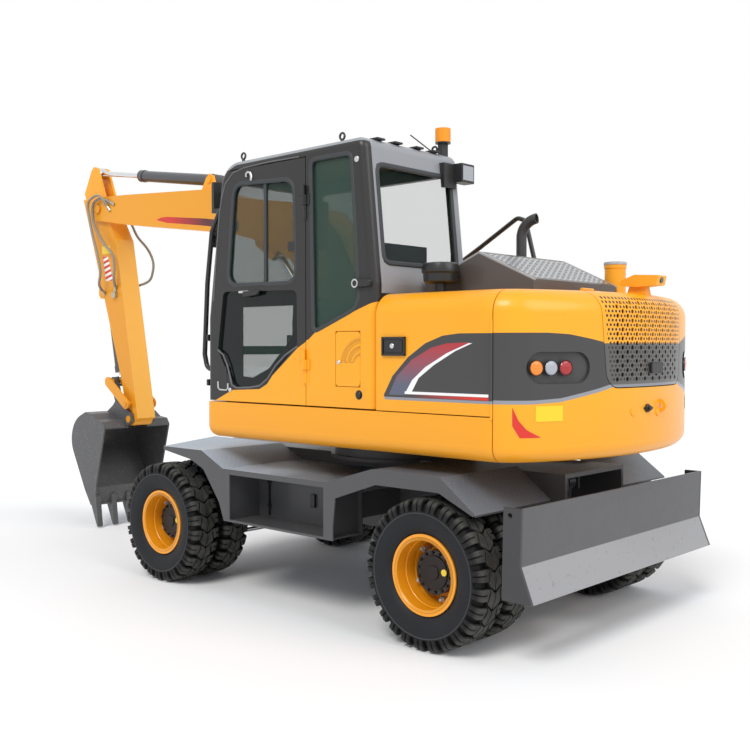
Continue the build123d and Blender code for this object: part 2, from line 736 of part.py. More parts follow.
with BuildPart() as rear_door:
    add(body_block.part)
    add(body_cavity.part, mode=Mode.SUBTRACT)
    add(rear_door_reach.part, mode=Mode.INTERSECT)
    add(grille_pocket.part, mode=Mode.SUBTRACT)
    with BuildSketch(Plane.YZ.offset(slew_x - tail_radius - 50)):
        with Locations((0, (rear_door_foot_z + body_top_z) / 2 - 10)):
            with HexLocations(grille_pitch, 17, 9):
                RegularPolygon(grille_hole, 6, rotation=30)
    extrude(amount=rear_door_depth - 2 * shoulder_radius + 60, mode=Mode.SUBTRACT)
    with Locations((slew_x - tail_radius + 15, *rear_latch)):
        Box(40, 130, 70)
    with BuildSketch(at_y(rear_camera_y + 55)):
        with BuildLine():
            Polyline(*rear_camera, close=True)
        make_face()
    extrude(amount=110)
    with BuildSketch(at_y(rear_camera_y + 30)):
        with BuildLine():
            Polyline((-2840, 2050), (-2930, 2050), (-2950, body_top_z - 25), (-2810, body_top_z - 25), close=True)
        make_face()
    extrude(amount=60)
    for hinge_y in rear_hinges_y:
        with BuildSketch(at_y(hinge_y)):
            with Locations(rear_hinge):
                Circle(hinge_radius)
            with Locations((rear_hinge[0], body_top_z - 2)):
                Rectangle(50, 8, align=(Align.MAX, Align.MIN))
        extrude(amount=hinge_length)
rear_door.part.label = "rear_door"
export_step(rear_door.part, "parts/rear_door.step")

# Side doors of the engine bay, one on each side between the cab and the tail
for name, side in (("side_door_left", 1), ("side_door_right", -1)):
    with BuildPart() as side_door:
        add(body_block.part)
        add(body_cavity.part, mode=Mode.SUBTRACT)
        with Locations(((side_door_front_x + side_door_rear_x) / 2, side * body_half_width,
                        deck_top_z + panel_gap / 2)):
            Box(side_door_front_x - side_door_rear_x - panel_gap, 2 * side_door_reach,
                body_top_z - deck_top_z, align=(Align.CENTER, Align.CENTER, Align.MIN), mode=Mode.INTERSECT)
        with Locations((side_hinge[0], side * side_hinge[1], deck_top_z + panel_gap / 2)):
            Cylinder(side_hinge_radius, body_top_z - shoulder_radius - 40 - deck_top_z,
                     align=(Align.CENTER, Align.CENTER, Align.MIN))
        with Locations((-1958, side * body_half_width, 1688)):
            Box(176, 16, 108)
    side_door.part.label = name
    export_step(side_door.part, f"parts/{name}.step")

# Top cover: the yellow lid over the engine bay, on a front wall and two rear posts
bay_half = body_half_width - side_door_reach - panel_gap
bay_front_x = side_door_front_x - panel_gap
with BuildPart() as top_cover:
    add(body_block.part)
    add(body_cavity.part, mode=Mode.SUBTRACT)
    with Locations((side_door_rear_x - panel_gap / 2 + fit, 0, deck_top_z + 50)):
        Box(bay_front_x - side_door_rear_x, 2 * bay_half, body_top_z,
            align=(Align.MIN, Align.CENTER, Align.MIN), mode=Mode.INTERSECT)
    with Locations((bay_front_x - plate, 0, seam_low_z + fit)):
        Box(plate, 2 * bay_half, body_top_z - 20 - seam_low_z - fit, align=(Align.MAX, Align.CENTER, Align.MIN))
    for side in (-1, 1):
        with Locations((side_door_rear_x + 10, side * (bay_half - 40), seam_low_z + fit)):
            Box(40, 60, body_top_z - 20 - seam_low_z - fit, align=(Align.MIN, Align.CENTER, Align.MIN))
    with Locations((*precleaner, body_top_z - 10)):
        Cylinder(66, precleaner_top_z - body_top_z, align=(Align.CENTER, Align.CENTER, Align.MIN))
    with Locations((*precleaner, precleaner_top_z)):
        Cylinder(70, 22, align=(Align.CENTER, Align.CENTER, Align.MAX))
top_cover.part.label = "top_cover"
export_step(top_cover.part, "parts/top_cover.step")

# Hood: a dark ridge on the lid with a long slope to the rear
with BuildPart() as hood_block:
    with BuildSketch(at_y(hood_left_y)):
        with BuildLine():
            Polyline(
                (hood_front_x, body_top_z + fit),
                hood_front,
                hood_shoulder,
                hood_peak,
                hood_foot,
                (hood_foot[0], body_top_z + fit),
                close=True,
            )
        make_face()
    extrude(amount=hood_left_y - hood_right_y)

with BuildPart() as hood:
    add(hood_block.part)
    with BuildSketch(at_y(hood_left_y - plate)):
        with BuildLine():
            Polyline(
                (hood_front_x - plate, body_top_z - 10),
                (hood_front_x - plate, hood_front[1] - plate),
                (hood_shoulder[0], hood_shoulder[1] - plate),
                (hood_peak[0], hood_peak[1] - plate),
                (hood_foot[0] + plate, hood_foot[1] - plate),
                (hood_foot[0] + plate, body_top_z - 10),
                close=True,
            )
        make_face()
    extrude(amount=hood_left_y - hood_right_y - 2 * plate, mode=Mode.SUBTRACT)
    slope = Vector(hood_foot[0] - hood_peak[0], 0, hood_foot[1] - hood_peak[1]).normalized()
    slope_middle = ((hood_foot[0] + hood_peak[0]) / 2, (hood_left_y + hood_right_y) / 2,
                    (hood_foot[1] + hood_peak[1]) / 2)
    with BuildSketch(Plane(origin=slope_middle, x_dir=slope, z_dir=Vector(slope.Z, 0, -slope.X))):
        with HexLocations(30, 6, 13):
            RegularPolygon(15, 6, rotation=30)
    extrude(amount=plate + 20, both=True, mode=Mode.SUBTRACT)
hood.part.label = "hood"
export_step(hood.part, "parts/hood.step")

# Right body: the tanks beside and behind the boom, under one yellow cover
with BuildPart() as tanks:
    add(body_block.part)
    with BuildSketch(Plane.XY.offset(seam_low_z + fit)):
        with BuildLine():
            Polyline(
                (body_front_x, -body_half_width),
                (body_front_x, tank_left_y),
                (bulkhead_front_x, tank_left_y),
                (bulkhead_front_x, cab_right_y - panel_gap),
                (side_door_front_x + panel_gap / 2, cab_right_y - panel_gap),
                (side_door_front_x + panel_gap / 2, -body_half_width),
                close=True,
            )
        make_face()
    extrude(amount=body_top_z - deck_top_z, mode=Mode.INTERSECT)
tanks.part.label = "tanks"
export_step(tanks.part, "parts/tanks.step")

# Engine: one plain block across the bay
with BuildPart() as engine:
    with Locations((-2240, 0, seam_low_z + fit)):
        Box(620, 900, 520, align=(Align.CENTER, Align.CENTER, Align.MIN))
engine.part.label = "engine"
export_step(engine.part, "parts/engine.step")

# Cab shell: a sloping nose and a rounded roof, hollow, with the window openings cut out
with BuildSketch(at_y(cab_left_y)) as cab_profile:
    with BuildLine():
        Polyline(*cab_outline, close=True)
    make_face()
    fillet(cab_profile.vertices().group_by(Axis.Y)[-2], cab_nose_radius)
    fillet(cab_profile.vertices().group_by(Axis.Y)[-1], cab_rear_radius)

with BuildPart() as cab_block:
    with BuildSketch(at_y(cab_left_y)):
        add(cab_profile.sketch_local)
    extrude(amount=cab_left_y - cab_right_y)
    side_rims = cab_block.faces().filter_by(Axis.Y).edges()
    fillet(side_rims.filter_by_position(Axis.Z, cab_base_z + 10, 3000), cab_edge_radius)


def cab_layer(inset):
    """The cab's outer form drawn in by inset on every side but the floor."""
    with BuildPart() as layer:
        with BuildSketch(at_y(cab_left_y - inset)):
            add(cab_profile.sketch_local)
            offset(amount=-inset, kind=Kind.INTERSECTION)
        extrude(amount=cab_left_y - cab_right_y - 2 * inset)
    return layer.part


with BuildPart() as window_openings:
    cab_middle_y = (cab_left_y + cab_right_y) / 2
    front_width = cab_left_y - cab_right_y - 2 * (cab_wall + front_post)
    for low, high in ((windshield_sill_z, 2790), (front_glass_sill_z, windshield_sill_z - 60)):
        with Locations((-350, cab_middle_y, low)):
            Box(400, front_width, high - low, align=(Align.CENTER, Align.CENTER, Align.MIN))
    with Locations((-1760, rear_window[0], rear_window[2])):
        Box(200, rear_window[1] - rear_window[0], rear_window[3] - rear_window[2],
            align=(Align.CENTER, Align.MIN, Align.MIN))
    with BuildSketch(at_y(cab_right_y + 100)) as right_opening:
        with BuildLine():
            Polyline(*right_window, close=True)
        make_face()
        fillet(right_opening.vertices(), window_corner)
    extrude(amount=200)
    with BuildSketch(at_y(cab_left_y + 50)) as quarter_opening:
        with BuildLine():
            Polyline(*quarter_window, close=True)
        make_face()
        fillet(quarter_opening.vertices(), window_corner)
    extrude(amount=150)

with BuildPart() as door_openings:
    for outline, corner in ((door_window, door_window_corner), (door_lower_window, 40)):
        with BuildSketch(at_y(cab_left_y + 50)) as opening:
            with BuildLine():
                Polyline(*outline, close=True)
            make_face()
            fillet(opening.vertices(), corner)
        extrude(amount=150)

with BuildPart() as side_panel_reach:
    with BuildSketch(at_y(cab_left_y + 10)):
        with BuildLine():
            Polyline((door_rear_x, cab_base_z - 10), *side_panel_top, (-1830, cab_base_z - 10), close=True)
        make_face()
    extrude(amount=10 + cab_wall + 10)

# Cab walls: name, lowest and highest corner of the region that the panel fills
wall_y = cab_left_y - cab_wall
cab_panels = [
    ("cab_floor", (-1850, cab_right_y, cab_base_z), (-200, wall_y - panel_gap, cab_floor_top_z)),
    ("cab_front", (-500, cab_right_y, cab_floor_top_z), (-200, wall_y - panel_gap, roof_split_z)),
    ("cab_back", (-1850, cab_right_y, cab_floor_top_z), (-500, wall_y, roof_split_z)),
    ("cab_left", (-1850, wall_y, cab_floor_top_z), (door_rear_x - panel_gap, cab_left_y, roof_split_z)),
    ("cab_roof", (-1850, cab_right_y, roof_split_z), (-200, cab_left_y, 2950)),
]
for name, low, high in cab_panels:
    with BuildPart() as panel:
        add(cab_block.part)
        if name != "cab_floor":
            add(cab_layer(cab_wall), mode=Mode.SUBTRACT)
            add(window_openings.part, mode=Mode.SUBTRACT)
        with Locations(low):
            Box(high[0] - low[0], high[1] - low[1], high[2] - low[2],
                align=(Align.MIN, Align.MIN, Align.MIN), mode=Mode.INTERSECT)
        if name == "cab_left":
            add(side_panel_reach.part, mode=Mode.SUBTRACT)
            with BuildSketch(Plane.XY.offset(cab_hinges_z[1] - hinge_length - fit)):
                with Locations(cab_hinge):
                    Circle(hinge_radius + 3)
                with Locations((cab_hinge[0] - 12, cab_left_y - 3)):
                    Rectangle(33, 12, align=(Align.MAX, Align.MIN))
                with Locations((cab_hinge[0], cab_left_y + 6)):
                    Rectangle(25, 12, align=(Align.MAX, Align.MIN))
            extrude(amount=hinge_length)
        if name == "cab_floor":
            with Locations((door_rear_x - panel_gap, wall_y - panel_gap, cab_base_z + 10)):
                Box(500, panel_gap, cab_floor_top_z - cab_base_z - 10, align=(Align.MAX, Align.MIN, Align.MIN))
    panel.part.label = name
    export_step(panel.part, f"parts/{name}.step")

with BuildPart() as side_panel:
    add(cab_block.part)
    add(cab_layer(cab_wall), mode=Mode.SUBTRACT)
    add(side_panel_reach.part, mode=Mode.INTERSECT)
    with Locations((door_rear_x - panel_gap, cab_left_y, cab_base_z)):
        Box(1000, 2 * cab_wall, 1000, align=(Align.MAX, Align.CENTER, Align.MIN), mode=Mode.INTERSECT)
    with Locations((flap_front_x + 4, cab_left_y, flap_foot_z - 4)):
        Box(flap_front_x - flap_rear_x + 8, 2 * (flap_plate + panel_gap), flap_top_z - flap_foot_z + 8,
            align=(Align.MAX, Align.CENTER, Align.MIN), mode=Mode.SUBTRACT)
    with BuildSketch(Plane.XY.offset(cab_hinges_z[0] - hinge_length - fit)):
        with Locations(cab_hinge):
            Circle(hinge_radius + 3)
        with Locations((cab_hinge[0] - 12, cab_left_y - 3)):
            Rectangle(33, 12, align=(Align.MAX, Align.MIN))
        with Locations((cab_hinge[0], cab_left_y + 6)):
            Rectangle(25, 12, align=(Align.MAX, Align.MIN))
    extrude(amount=hinge_length)
side_panel.part.label = "side_panel"
export_step(side_panel.part, "parts/side_panel.step")

# Fuel flap: a thin lid in its own recess
with BuildPart() as fuel_flap:
    with Locations((flap_front_x, cab_left_y, flap_foot_z)):
        Box(flap_front_x - flap_rear_x, flap_plate, flap_top_z - flap_foot_z,
            align=(Align.MAX, Align.MAX, Align.MIN))
    fillet(fuel_flap.edges().filter_by(Axis.Y), 22)
    with Locations((flap_rear_x + 10, cab_left_y, (flap_top_z + flap_foot_z) / 2)):
        Box(16, flap_plate + panel_gap, 60, align=(Align.CENTER, Align.MAX, Align.CENTER))
    with Locations((flap_rear_x + 3, cab_left_y - 3, (flap_top_z + flap_foot_z) / 2)):
        Cylinder(5, flap_top_z - flap_foot_z - 60)
fuel_flap.part.label = "fuel_flap"
export_step(fuel_flap.part, "parts/fuel_flap.step")

# Cab door: the whole left front of the cab in one frame with two panes
with BuildPart() as cab_door:
    add(cab_block.part)
    add(cab_layer(cab_wall), mode=Mode.SUBTRACT)
    add(door_openings.part, mode=Mode.SUBTRACT)
    with Locations((door_rear_x, wall_y, cab_base_z)):
        Box(1050, cab_wall, roof_split_z - cab_base_z - panel_gap,
            align=(Align.MIN, Align.MIN, Align.MIN), mode=Mode.INTERSECT)
    for hinge_z in cab_hinges_z:
        with BuildSketch(Plane.XY.offset(hinge_z)):
            with Locations(cab_hinge):
                Circle(hinge_radius + 3)
            with Locations((cab_hinge[0], cab_left_y - 3)):
                Rectangle(45, 12, align=(Align.MIN, Align.MIN))
        extrude(amount=hinge_length)
cab_door.part.label = "cab_door"
export_step(cab_door.part, "parts/cab_door.step")

# Glass: one thin layer inside the walls, cut to the openings
for name, openings in (("cab_glass", window_openings), ("door_glass", door_openings)):
    with BuildPart() as glass:
        add(cab_layer(glass_depth))
        add(cab_layer(glass_depth + glass_thickness), mode=Mode.SUBTRACT)
        add(openings.part, mode=Mode.INTERSECT)
    glass.part.label = name
    export_step(glass.part, f"parts/{name}.step")

# Seat: a pedestal, a cushion and a back on their own frame
seat_x = -1330
with BuildPart() as seat:
    with Locations((seat_x, cab_middle_y, cab_floor_top_z)):
        Box(420, 400, 250, align=(Align.CENTER, Align.CENTER, Align.MIN))
    with Locations((seat_x, cab_middle_y, cab_floor_top_z + 250)):
        Box(500, 480, 120, align=(Align.CENTER, Align.CENTER, Align.MIN))
    with Locations((seat_x - 250, cab_middle_y, cab_floor_top_z + 300)):
        Box(110, 460, 640, align=(Align.CENTER, Align.CENTER, Align.MIN))
seat.part.label = "seat"
export_step(seat.part, "parts/seat.step")

# Boom: a bent box section with a boss at its foot and a fork at its tip
with BuildPart() as boom:
    with BuildSketch(at_y(boom_y)):
        with BuildLine():
            Polyline(boom_tip, *boom_top_line, *boom_foot_back, boom_foot, *boom_foot_front,
                     *reversed(boom_bottom_line), close=True)
        make_face()
        with Locations(boom_tip):
            Circle(boom_tip_radius)
        with Locations(boom_foot):
            Circle(boom_foot_radius)
        with BuildLine():
            Polyline((boom_tip[0], boom_tip[1] + boom_tip_radius), boom_top_line[0], boom_bottom_line[0],
                     (boom_tip[0], boom_tip[1] - boom_tip_radius), close=True)
        make_face()
    extrude(amount=boom_half_width, both=True)
    with BuildSketch(at_y(boom_y)):
        with Locations(boom_tip):
            Circle(boom_fork_radius)
    extrude(amount=boom_half_width - boom_ear, both=True, mode=Mode.SUBTRACT)
    with BuildSketch(at_y(boom_y)):
        with Locations(boom_cylinder_eye):
            Circle(eye_pocket_radius)
    extrude(amount=60, both=True, mode=Mode.SUBTRACT)
    for pin in (boom_foot, boom_tip):
        with BuildSketch(at_y(boom_y)):
            with Locations(pin):
                Circle(boom_pin_radius + fit)
        extrude(amount=boom_half_width, both=True, mode=Mode.SUBTRACT)
    for side in (-1, 1):
        with BuildSketch(at_y(boom_y + side * (60 + lug_plate / 2))):
            with BuildLine():
                Polyline(
                    (boom_cylinder_eye[0] - 90, 2500),
                    (boom_cylinder_eye[0] - 50, boom_cylinder_eye[1] - 10),
                    (boom_cylinder_eye[0] + 10, boom_cylinder_eye[1] - 50),
                    (boom_cylinder_eye[0] + 60, boom_cylinder_eye[1] - 10),
                    (boom_cylinder_eye[0] + 200, 2510),
                    (boom_cylinder_eye[0] + 200, 2560),
                    (boom_cylinder_eye[0] - 90, 2560),
                    close=True,
                )
            make_face()
        extrude(amount=lug_plate / 2, both=True)
        with BuildSketch(at_y(boom_y + side * (58 + lug_plate / 2))):
            with BuildLine():
                Polyline(
                    (arm_cylinder_base[0] - 90, 2990),
                    (arm_cylinder_base[0] - 45, arm_cylinder_base[1] + 30),
                    (arm_cylinder_base[0], arm_cylinder_base[1] + 50),
                    (arm_cylinder_base[0] + 45, arm_cylinder_base[1] + 20),
                    (arm_cylinder_base[0] + 120, 3005),
                    (arm_cylinder_base[0] + 120, 2980),
                    (arm_cylinder_base[0] - 90, 2970),
                    close=True,
                )
            make_face()
        extrude(amount=lug_plate / 2, both=True)
    with BuildSketch(at_y(boom_y)):
        with Locations(arm_cylinder_base):
            Circle(30)
    extrude(amount=92, both=True)
boom.part.label = "boom"
export_step(boom.part, "parts/boom.step")

# Arm: a tapering box with two ears above its pivot and a boss for the bucket below
with BuildPart() as arm:
    with BuildSketch(at_y(boom_y)):
        with BuildLine():
            Polyline(
                (boom_tip[0] - 70, boom_tip[1] - 50),
                (boom_tip[0] + 20, boom_tip[1] + 90),
                (2985, 3100),
                (3020, 3125),
                (2393, 1395),
                (bucket_pivot[0] + 62, bucket_pivot[1] + 20),
                (bucket_pivot[0] + 10, bucket_pivot[1] - 60),
                (bucket_pivot[0] - 62, bucket_pivot[1] - 10),
                (2122, 1020),
                (2460, 2692),
                close=True,
            )
        make_face()
        with Locations(boom_tip):
            Circle(105)
        with Locations(bucket_pivot):
            Circle(62)
    extrude(amount=arm_half_width, both=True)
    for side in (-1, 1):
        with BuildSketch(at_y(boom_y + side * (arm_ear_inner + arm_ear_outer) / 2)):
            with BuildLine():
                Polyline(
                    (boom_tip[0] - 40, boom_tip[1] + 60),
                    (arm_ear_pin[0] - 52, arm_ear_pin[1] + 36),
                    (arm_ear_pin[0], arm_ear_pin[1] + 56),
                    (arm_ear_pin[0] + 45, arm_ear_pin[1] + 30),
                    (3043, 3186),
                    (3010, 3110),
                    (2900, 3000),
                    close=True,
                )
            make_face()
        extrude(amount=(arm_ear_outer - arm_ear_inner) / 2, both=True)
        with BuildSketch(at_y(boom_y + side * (55 + arm_half_width) / 2)):
            with BuildLine():
                Polyline(
                    (2740, 2432),
                    (2762, 2432),
                    (2757, 2181),
                    (2729, 2149),
                    (2640, 2140),
                    close=True,
                )
            make_face()
        extrude(amount=(arm_half_width - 55) / 2, both=True)
    with BuildSketch(at_y(boom_y)):
        with Locations(bucket_cylinder_base):
            Circle(70)
        with BuildLine():
            Polyline(
                (bucket_cylinder_base[0] - 70, bucket_cylinder_base[1]),
                (bucket_cylinder_base[0] - 115, bucket_cylinder_base[1] - 300),
                (bucket_cylinder_base[0] + 20, bucket_cylinder_base[1] - 300),
                (bucket_cylinder_base[0] + 70, bucket_cylinder_base[1]),
                close=True,
            )
        make_face()
    extrude(amount=55, both=True, mode=Mode.SUBTRACT)
    for pin, radius, half_length in (
        (bucket_cylinder_base, 28, arm_half_width),
        (guide_pivot, link_pin_radius, guide_plate_y + guide_plate + 8),
        (bucket_pivot, 32, arm_half_width + 36),
        (boom_tip, boom_pin_radius, boom_half_width + 18),
    ):
        with BuildSketch(at_y(boom_y)):
            with Locations(pin):
                Circle(radius)
        extrude(amount=half_length, both=True)
arm.part.label = "arm"
export_step(arm.part, "parts/arm.step")

# Bucket: a curved shell between two side plates, with ears for the arm and the link, and its teeth
with BuildPart() as bucket:
    with BuildSketch(at_y(boom_y)) as bucket_profile:
        with BuildLine():
            Polyline((2430, 208), (2509, 204), (2607, 338), (2804, 686))
            ThreePointArc((2804, 686), (2822, 880), (2690, 1030))
            Polyline((2690, 1030), (2587, 1071), (2496, 1057), (2414, 1007), (2303, 995), (2264, 936),
                     (2417, 393), (2430, 208))
        make_face()
    extrude(amount=bucket_half_width, both=True)
    with BuildSketch(at_y(boom_y)):
        add(bucket_profile.sketch_local)
        offset(amount=-bucket_plate, kind=Kind.INTERSECTION)
        with BuildLine():
            Polyline((2290, 925), (2431, 395), (2442, 225), (2300, 225), (2150, 925), close=True)
        make_face()
    extrude(amount=bucket_half_width - bucket_plate, both=True, mode=Mode.SUBTRACT)
    with BuildSketch(at_y(boom_y)):
        with Locations(bucket_pivot):
            Circle(110)
    extrude(amount=arm_half_width + 4, both=True, mode=Mode.SUBTRACT)
    for side in (-1, 1):
        with BuildSketch(at_y(boom_y + side * (101 + thick_plate / 2))):
            with BuildLine():
                Polyline(
                    (bucket_pivot[0] - 60, bucket_pivot[1] - 20),
                    (bucket_pivot[0] - 40, bucket_pivot[1] + 50),
                    (bucket_ear_pin[0] - 40, bucket_ear_pin[1] + 40),
                    (bucket_ear_pin[0] + 10, bucket_ear_pin[1] + 52),
                    (bucket_ear_pin[0] + 55, bucket_ear_pin[1] + 5),
                    (2600, 1062),
                    (2500, 1040),
                    (2414, 990),
                    (2303, 980),
                    (bucket_pivot[0] + 20, bucket_pivot[1] - 62),
                    close=True,
                )
            make_face()
            with Locations(bucket_pivot):
                Circle(32 + fit, mode=Mode.SUBTRACT)
        extrude(amount=thick_plate / 2, both=True)
    tooth_pitch = (2 * bucket_half_width - tooth_width) / (tooth_count - 1)
    for tooth in range(tooth_count):
        tooth_y = boom_y - bucket_half_width + tooth_width / 2 + tooth * tooth_pitch
        with BuildSketch(at_y(tooth_y)):
            with BuildLine():
                Polyline((2418, 300), (2445, 300), (2512, 235), (2400, 12), (2384, 12), close=True)
            make_face()
        extrude(amount=tooth_width / 2, both=True)
bucket.part.label = "bucket"
export_step(bucket.part, "parts/bucket.step")

# Guide links: a plate on each side of the arm, with the half pins that carry the bucket link
with BuildPart() as guide_links:
    for side in (-1, 1):
        middle_y = boom_y + side * (guide_plate_y + guide_plate / 2)
        with BuildSketch(at_y(middle_y)):
            for pin in (guide_pivot, link_pin):
                with Locations(pin):
                    Circle(45)
            with BuildLine():
                Polyline(
                    (guide_pivot[0] - 26, guide_pivot[1] + 37),
                    (link_pin[0] - 26, link_pin[1] + 37),
                    (link_pin[0] + 26, link_pin[1] - 37),
                    (guide_pivot[0] + 26, guide_pivot[1] - 37),
                    close=True,
                )
            make_face()
            with Locations(guide_pivot):
                Circle(link_pin_radius + fit, mode=Mode.SUBTRACT)
        extrude(amount=guide_plate / 2, both=True)
        with BuildSketch(at_y(boom_y + side * (60 + guide_plate_y + guide_plate) / 2)):
            with Locations(link_pin):
                Circle(link_pin_radius)
        extrude(amount=(guide_plate_y + guide_plate - 60) / 2, both=True)
guide_links.part.label = "guide_links"
export_step(guide_links.part, "parts/guide_links.step")

# Bucket link: a fork from the guide links' pin to the bucket's upper pin
with BuildPart() as bucket_link:
    for side in (-1, 1):
        with BuildSketch(at_y(boom_y + side * (62 + arm_half_width) / 2)):
            with Locations(link_pin):
                Circle(45)
            with Locations(bucket_ear_pin):
                Circle(48)
            with BuildLine():
                Polyline(
                    (link_pin[0] - 40, link_pin[1] + 16),
                    (link_pin[0] + 40, link_pin[1] - 16),
                    (bucket_ear_pin[0] + 40, bucket_ear_pin[1] - 16),
                    (bucket_ear_pin[0] - 40, bucket_ear_pin[1] + 16),
                    close=True,
                )
            make_face()
            with Locations(link_pin):
                Circle(link_pin_radius + fit, mode=Mode.SUBTRACT)
        extrude(amount=(arm_half_width - 62) / 2, both=True)
    with BuildSketch(at_y(boom_y)):
        with Locations(bucket_ear_pin):
            Circle(48)
    extrude(amount=arm_half_width, both=True)
bucket_link.part.label = "bucket_link"
export_step(bucket_link.part, "parts/bucket_link.step")

# Cylinders: name, y, base pin, rod eye, barrel length, barrel radius, rod radius, half widths of the
# base eye and the rod eye, pin radius, and how far the rod still comes out
cylinders = [
    ("boom", boom_y, boom_cylinder_base, boom_cylinder_eye, 1020, 62, 32, 100, 56, boom_pin_radius - 5, 230),
    ("arm", boom_y, arm_cylinder_base, arm_ear_pin, 1117, 50, 24, 54, 40, 30, 110),
    ("bucket", boom_y, bucket_cylinder_base, link_pin, 780, 45, 22, 50, 55, 28, 570),
    ("blade", 0, blade_cylinder_base, blade_cylinder_eye, blade_barrel_length, 37, 24, 34, 34,
     blade_pin_radius, 220),
]
for (name, y, base, eye, barrel_length, barrel_radius, rod_radius, base_half, eye_half, pin_radius,
     stroke_left) in cylinders:
    length = distance(base, eye)
    angle = radians(heading(base, eye))
    direction = Vector(cos(angle), 0, sin(angle))
    along = Plane(origin=(base[0], y, base[1]), x_dir=direction, z_dir=(0, -1, 0))
    centre_line = Axis((base[0], y, base[1]), direction)
    eye_radius = pin_radius + 22
    with BuildPart() as barrel:
        with BuildSketch(along):
            Rectangle(barrel_length, barrel_radius, align=(Align.MIN, Align.MIN))
            with Locations((barrel_length - gland_length, 0)):
                Rectangle(gland_length, barrel_radius + 6, align=(Align.MIN, Align.MIN))
        revolve(axis=centre_line)
        with BuildSketch(along):
            Circle(eye_radius)
        extrude(amount=base_half, both=True)
        with BuildSketch(along):
            Circle(pin_radius + fit)
        extrude(amount=max(base_half, barrel_radius), both=True, mode=Mode.SUBTRACT)
        with BuildSketch(along):
            with Locations((eye_radius + 10, 0)):
                Rectangle(barrel_length, rod_radius + fit, align=(Align.MIN, Align.MIN))
        revolve(axis=centre_line, mode=Mode.SUBTRACT)
    barrel.part.label = f"{name}_cylinder"
    export_step(barrel.part, f"parts/{name}_cylinder.step")

    with BuildPart() as rod:
        inner_end = barrel_length - gland_length - stroke_left
        with BuildSketch(along):
            with Locations((inner_end, 0)):
                Rectangle(length - inner_end, rod_radius, align=(Align.MIN, Align.MIN))
        revolve(axis=centre_line)
        with BuildSketch(along):
            with Locations((length, 0)):
                Circle(eye_radius)
        extrude(amount=eye_half, both=True)
    rod.part.label = f"{name}_rod"
    export_step(rod.part, f"parts/{name}_rod.step")

# Controls: a console on each side of the seat, the steering column with its wheel, and an extinguisher
with BuildPart() as controls:
    for console_y in (cab_right_y + cab_wall + 75, cab_left_y - cab_wall - panel_gap - 80):
        with Locations((seat_x + 100, console_y, cab_floor_top_z)):
            Box(520, 110, 380, align=(Align.CENTER, Align.CENTER, Align.MIN))
    for lever_y in (cab_right_y + cab_wall + 75, cab_left_y - cab_wall - panel_gap - 80):
        with Locations((seat_x + 290, lever_y, cab_floor_top_z + 380)):
            Cylinder(14, 210, align=(Align.CENTER, Align.CENTER, Align.MIN))
        with Locations((seat_x + 290, lever_y, cab_floor_top_z + 640)):
            Sphere(32)
        with Locations((seat_x + 290, lever_y, cab_floor_top_z + 590)):
            Cylinder(20, 60, align=(Align.CENTER, Align.CENTER, Align.CENTER))
    with BuildSketch(at_y(cab_middle_y)):
        with BuildLine():
            Polyline((-560, cab_floor_top_z), (-620, cab_floor_top_z), (-790, 1975), (-735, 1990), close=True)
        make_face()
    extrude(amount=35, both=True)
    wheel_plane = Plane(origin=(-765, cab_middle_y, 1995), z_dir=(-0.3, 0, 1))
    with BuildSketch(wheel_plane):
        Circle(60)
        Rectangle(2 * steering_wheel_radius, 30)
    extrude(amount=12, both=True)
    with BuildSketch(Plane(origin=(-765, cab_middle_y, 1995), x_dir=(0, 1, 0), z_dir=(1, 0, 0.3))):
        with Locations((steering_wheel_radius, 0)):
            Circle(16)
    revolve(axis=Axis((-765, cab_middle_y, 1995), (-0.3, 0, 1)))
    with Locations((-1258, cab_left_y - cab_wall - 55, 2290)):
        Cylinder(50, 290, align=(Align.CENTER, Align.CENTER, Align.MIN))
    with Locations((-1258, cab_left_y - cab_wall - fit, 2340)):
        Box(40, 60, 160, align=(Align.CENTER, Align.MAX, Align.MIN))
controls.part.label = "controls"
export_step(controls.part, "parts/controls.step")

# Exhaust: a bent pipe on the hood
with BuildPart() as exhaust:
    with BuildLine() as exhaust_line:
        rise = Line((exhaust_x, exhaust_y, exhaust_foot_z), (exhaust_x, exhaust_y, 2400))
        TangentArc((exhaust_x, exhaust_y, 2400), (exhaust_x - 105, exhaust_y - 20, 2520), tangent=rise % 1)
    with BuildSketch(Plane(origin=(exhaust_x, exhaust_y, exhaust_foot_z), z_dir=(0, 0, 1))):
        Circle(34)
        Circle(29, mode=Mode.SUBTRACT)
    sweep(path=exhaust_line.wire())
    with Locations((exhaust_x, exhaust_y, exhaust_foot_z)):
        Cylinder(60, 30, align=(Align.CENTER, Align.CENTER, Align.MIN))
    add(hood_block.part, mode=Mode.SUBTRACT)
exhaust.part.label = "exhaust"
export_step(exhaust.part, "parts/exhaust.step")

# Handrails: one in front of the cab's left corner, one over the right body
rail_radius = 17
cab_rail_y = cab_left_y - 75
body_rail_y = 165 - body_half_width
rails = [
    [(-430, cab_rail_y, 2620), (-300, cab_rail_y, 2620), (-210, cab_rail_y, 2480), (-157, cab_rail_y, 2128),
     (-123, cab_rail_y, 1632), (-150, cab_rail_y, 1540), (-320, cab_rail_y, 1500)],
    [(-400, body_rail_y, body_top_z - 20), (-470, body_rail_y, 2065), (-1154, body_rail_y, 2438),
     (-1500, body_rail_y, 2636), (-1570, body_rail_y, 2610), (-1740, body_rail_y, body_top_z - 20)],
]
with BuildPart() as handrails:
    for points in rails:
        with BuildLine() as rail_line:
            FilletPolyline(*points, radius=50)
        with BuildSketch(Plane(origin=points[0], z_dir=Vector(*points[1]) - Vector(*points[0]))):
            Circle(rail_radius)
        sweep(path=rail_line.wire())
    add(cab_block.part, mode=Mode.SUBTRACT)
    add(tanks.part, mode=Mode.SUBTRACT)
handrails.part.label = "handrails"
export_step(handrails.part, "parts/handrails.step")

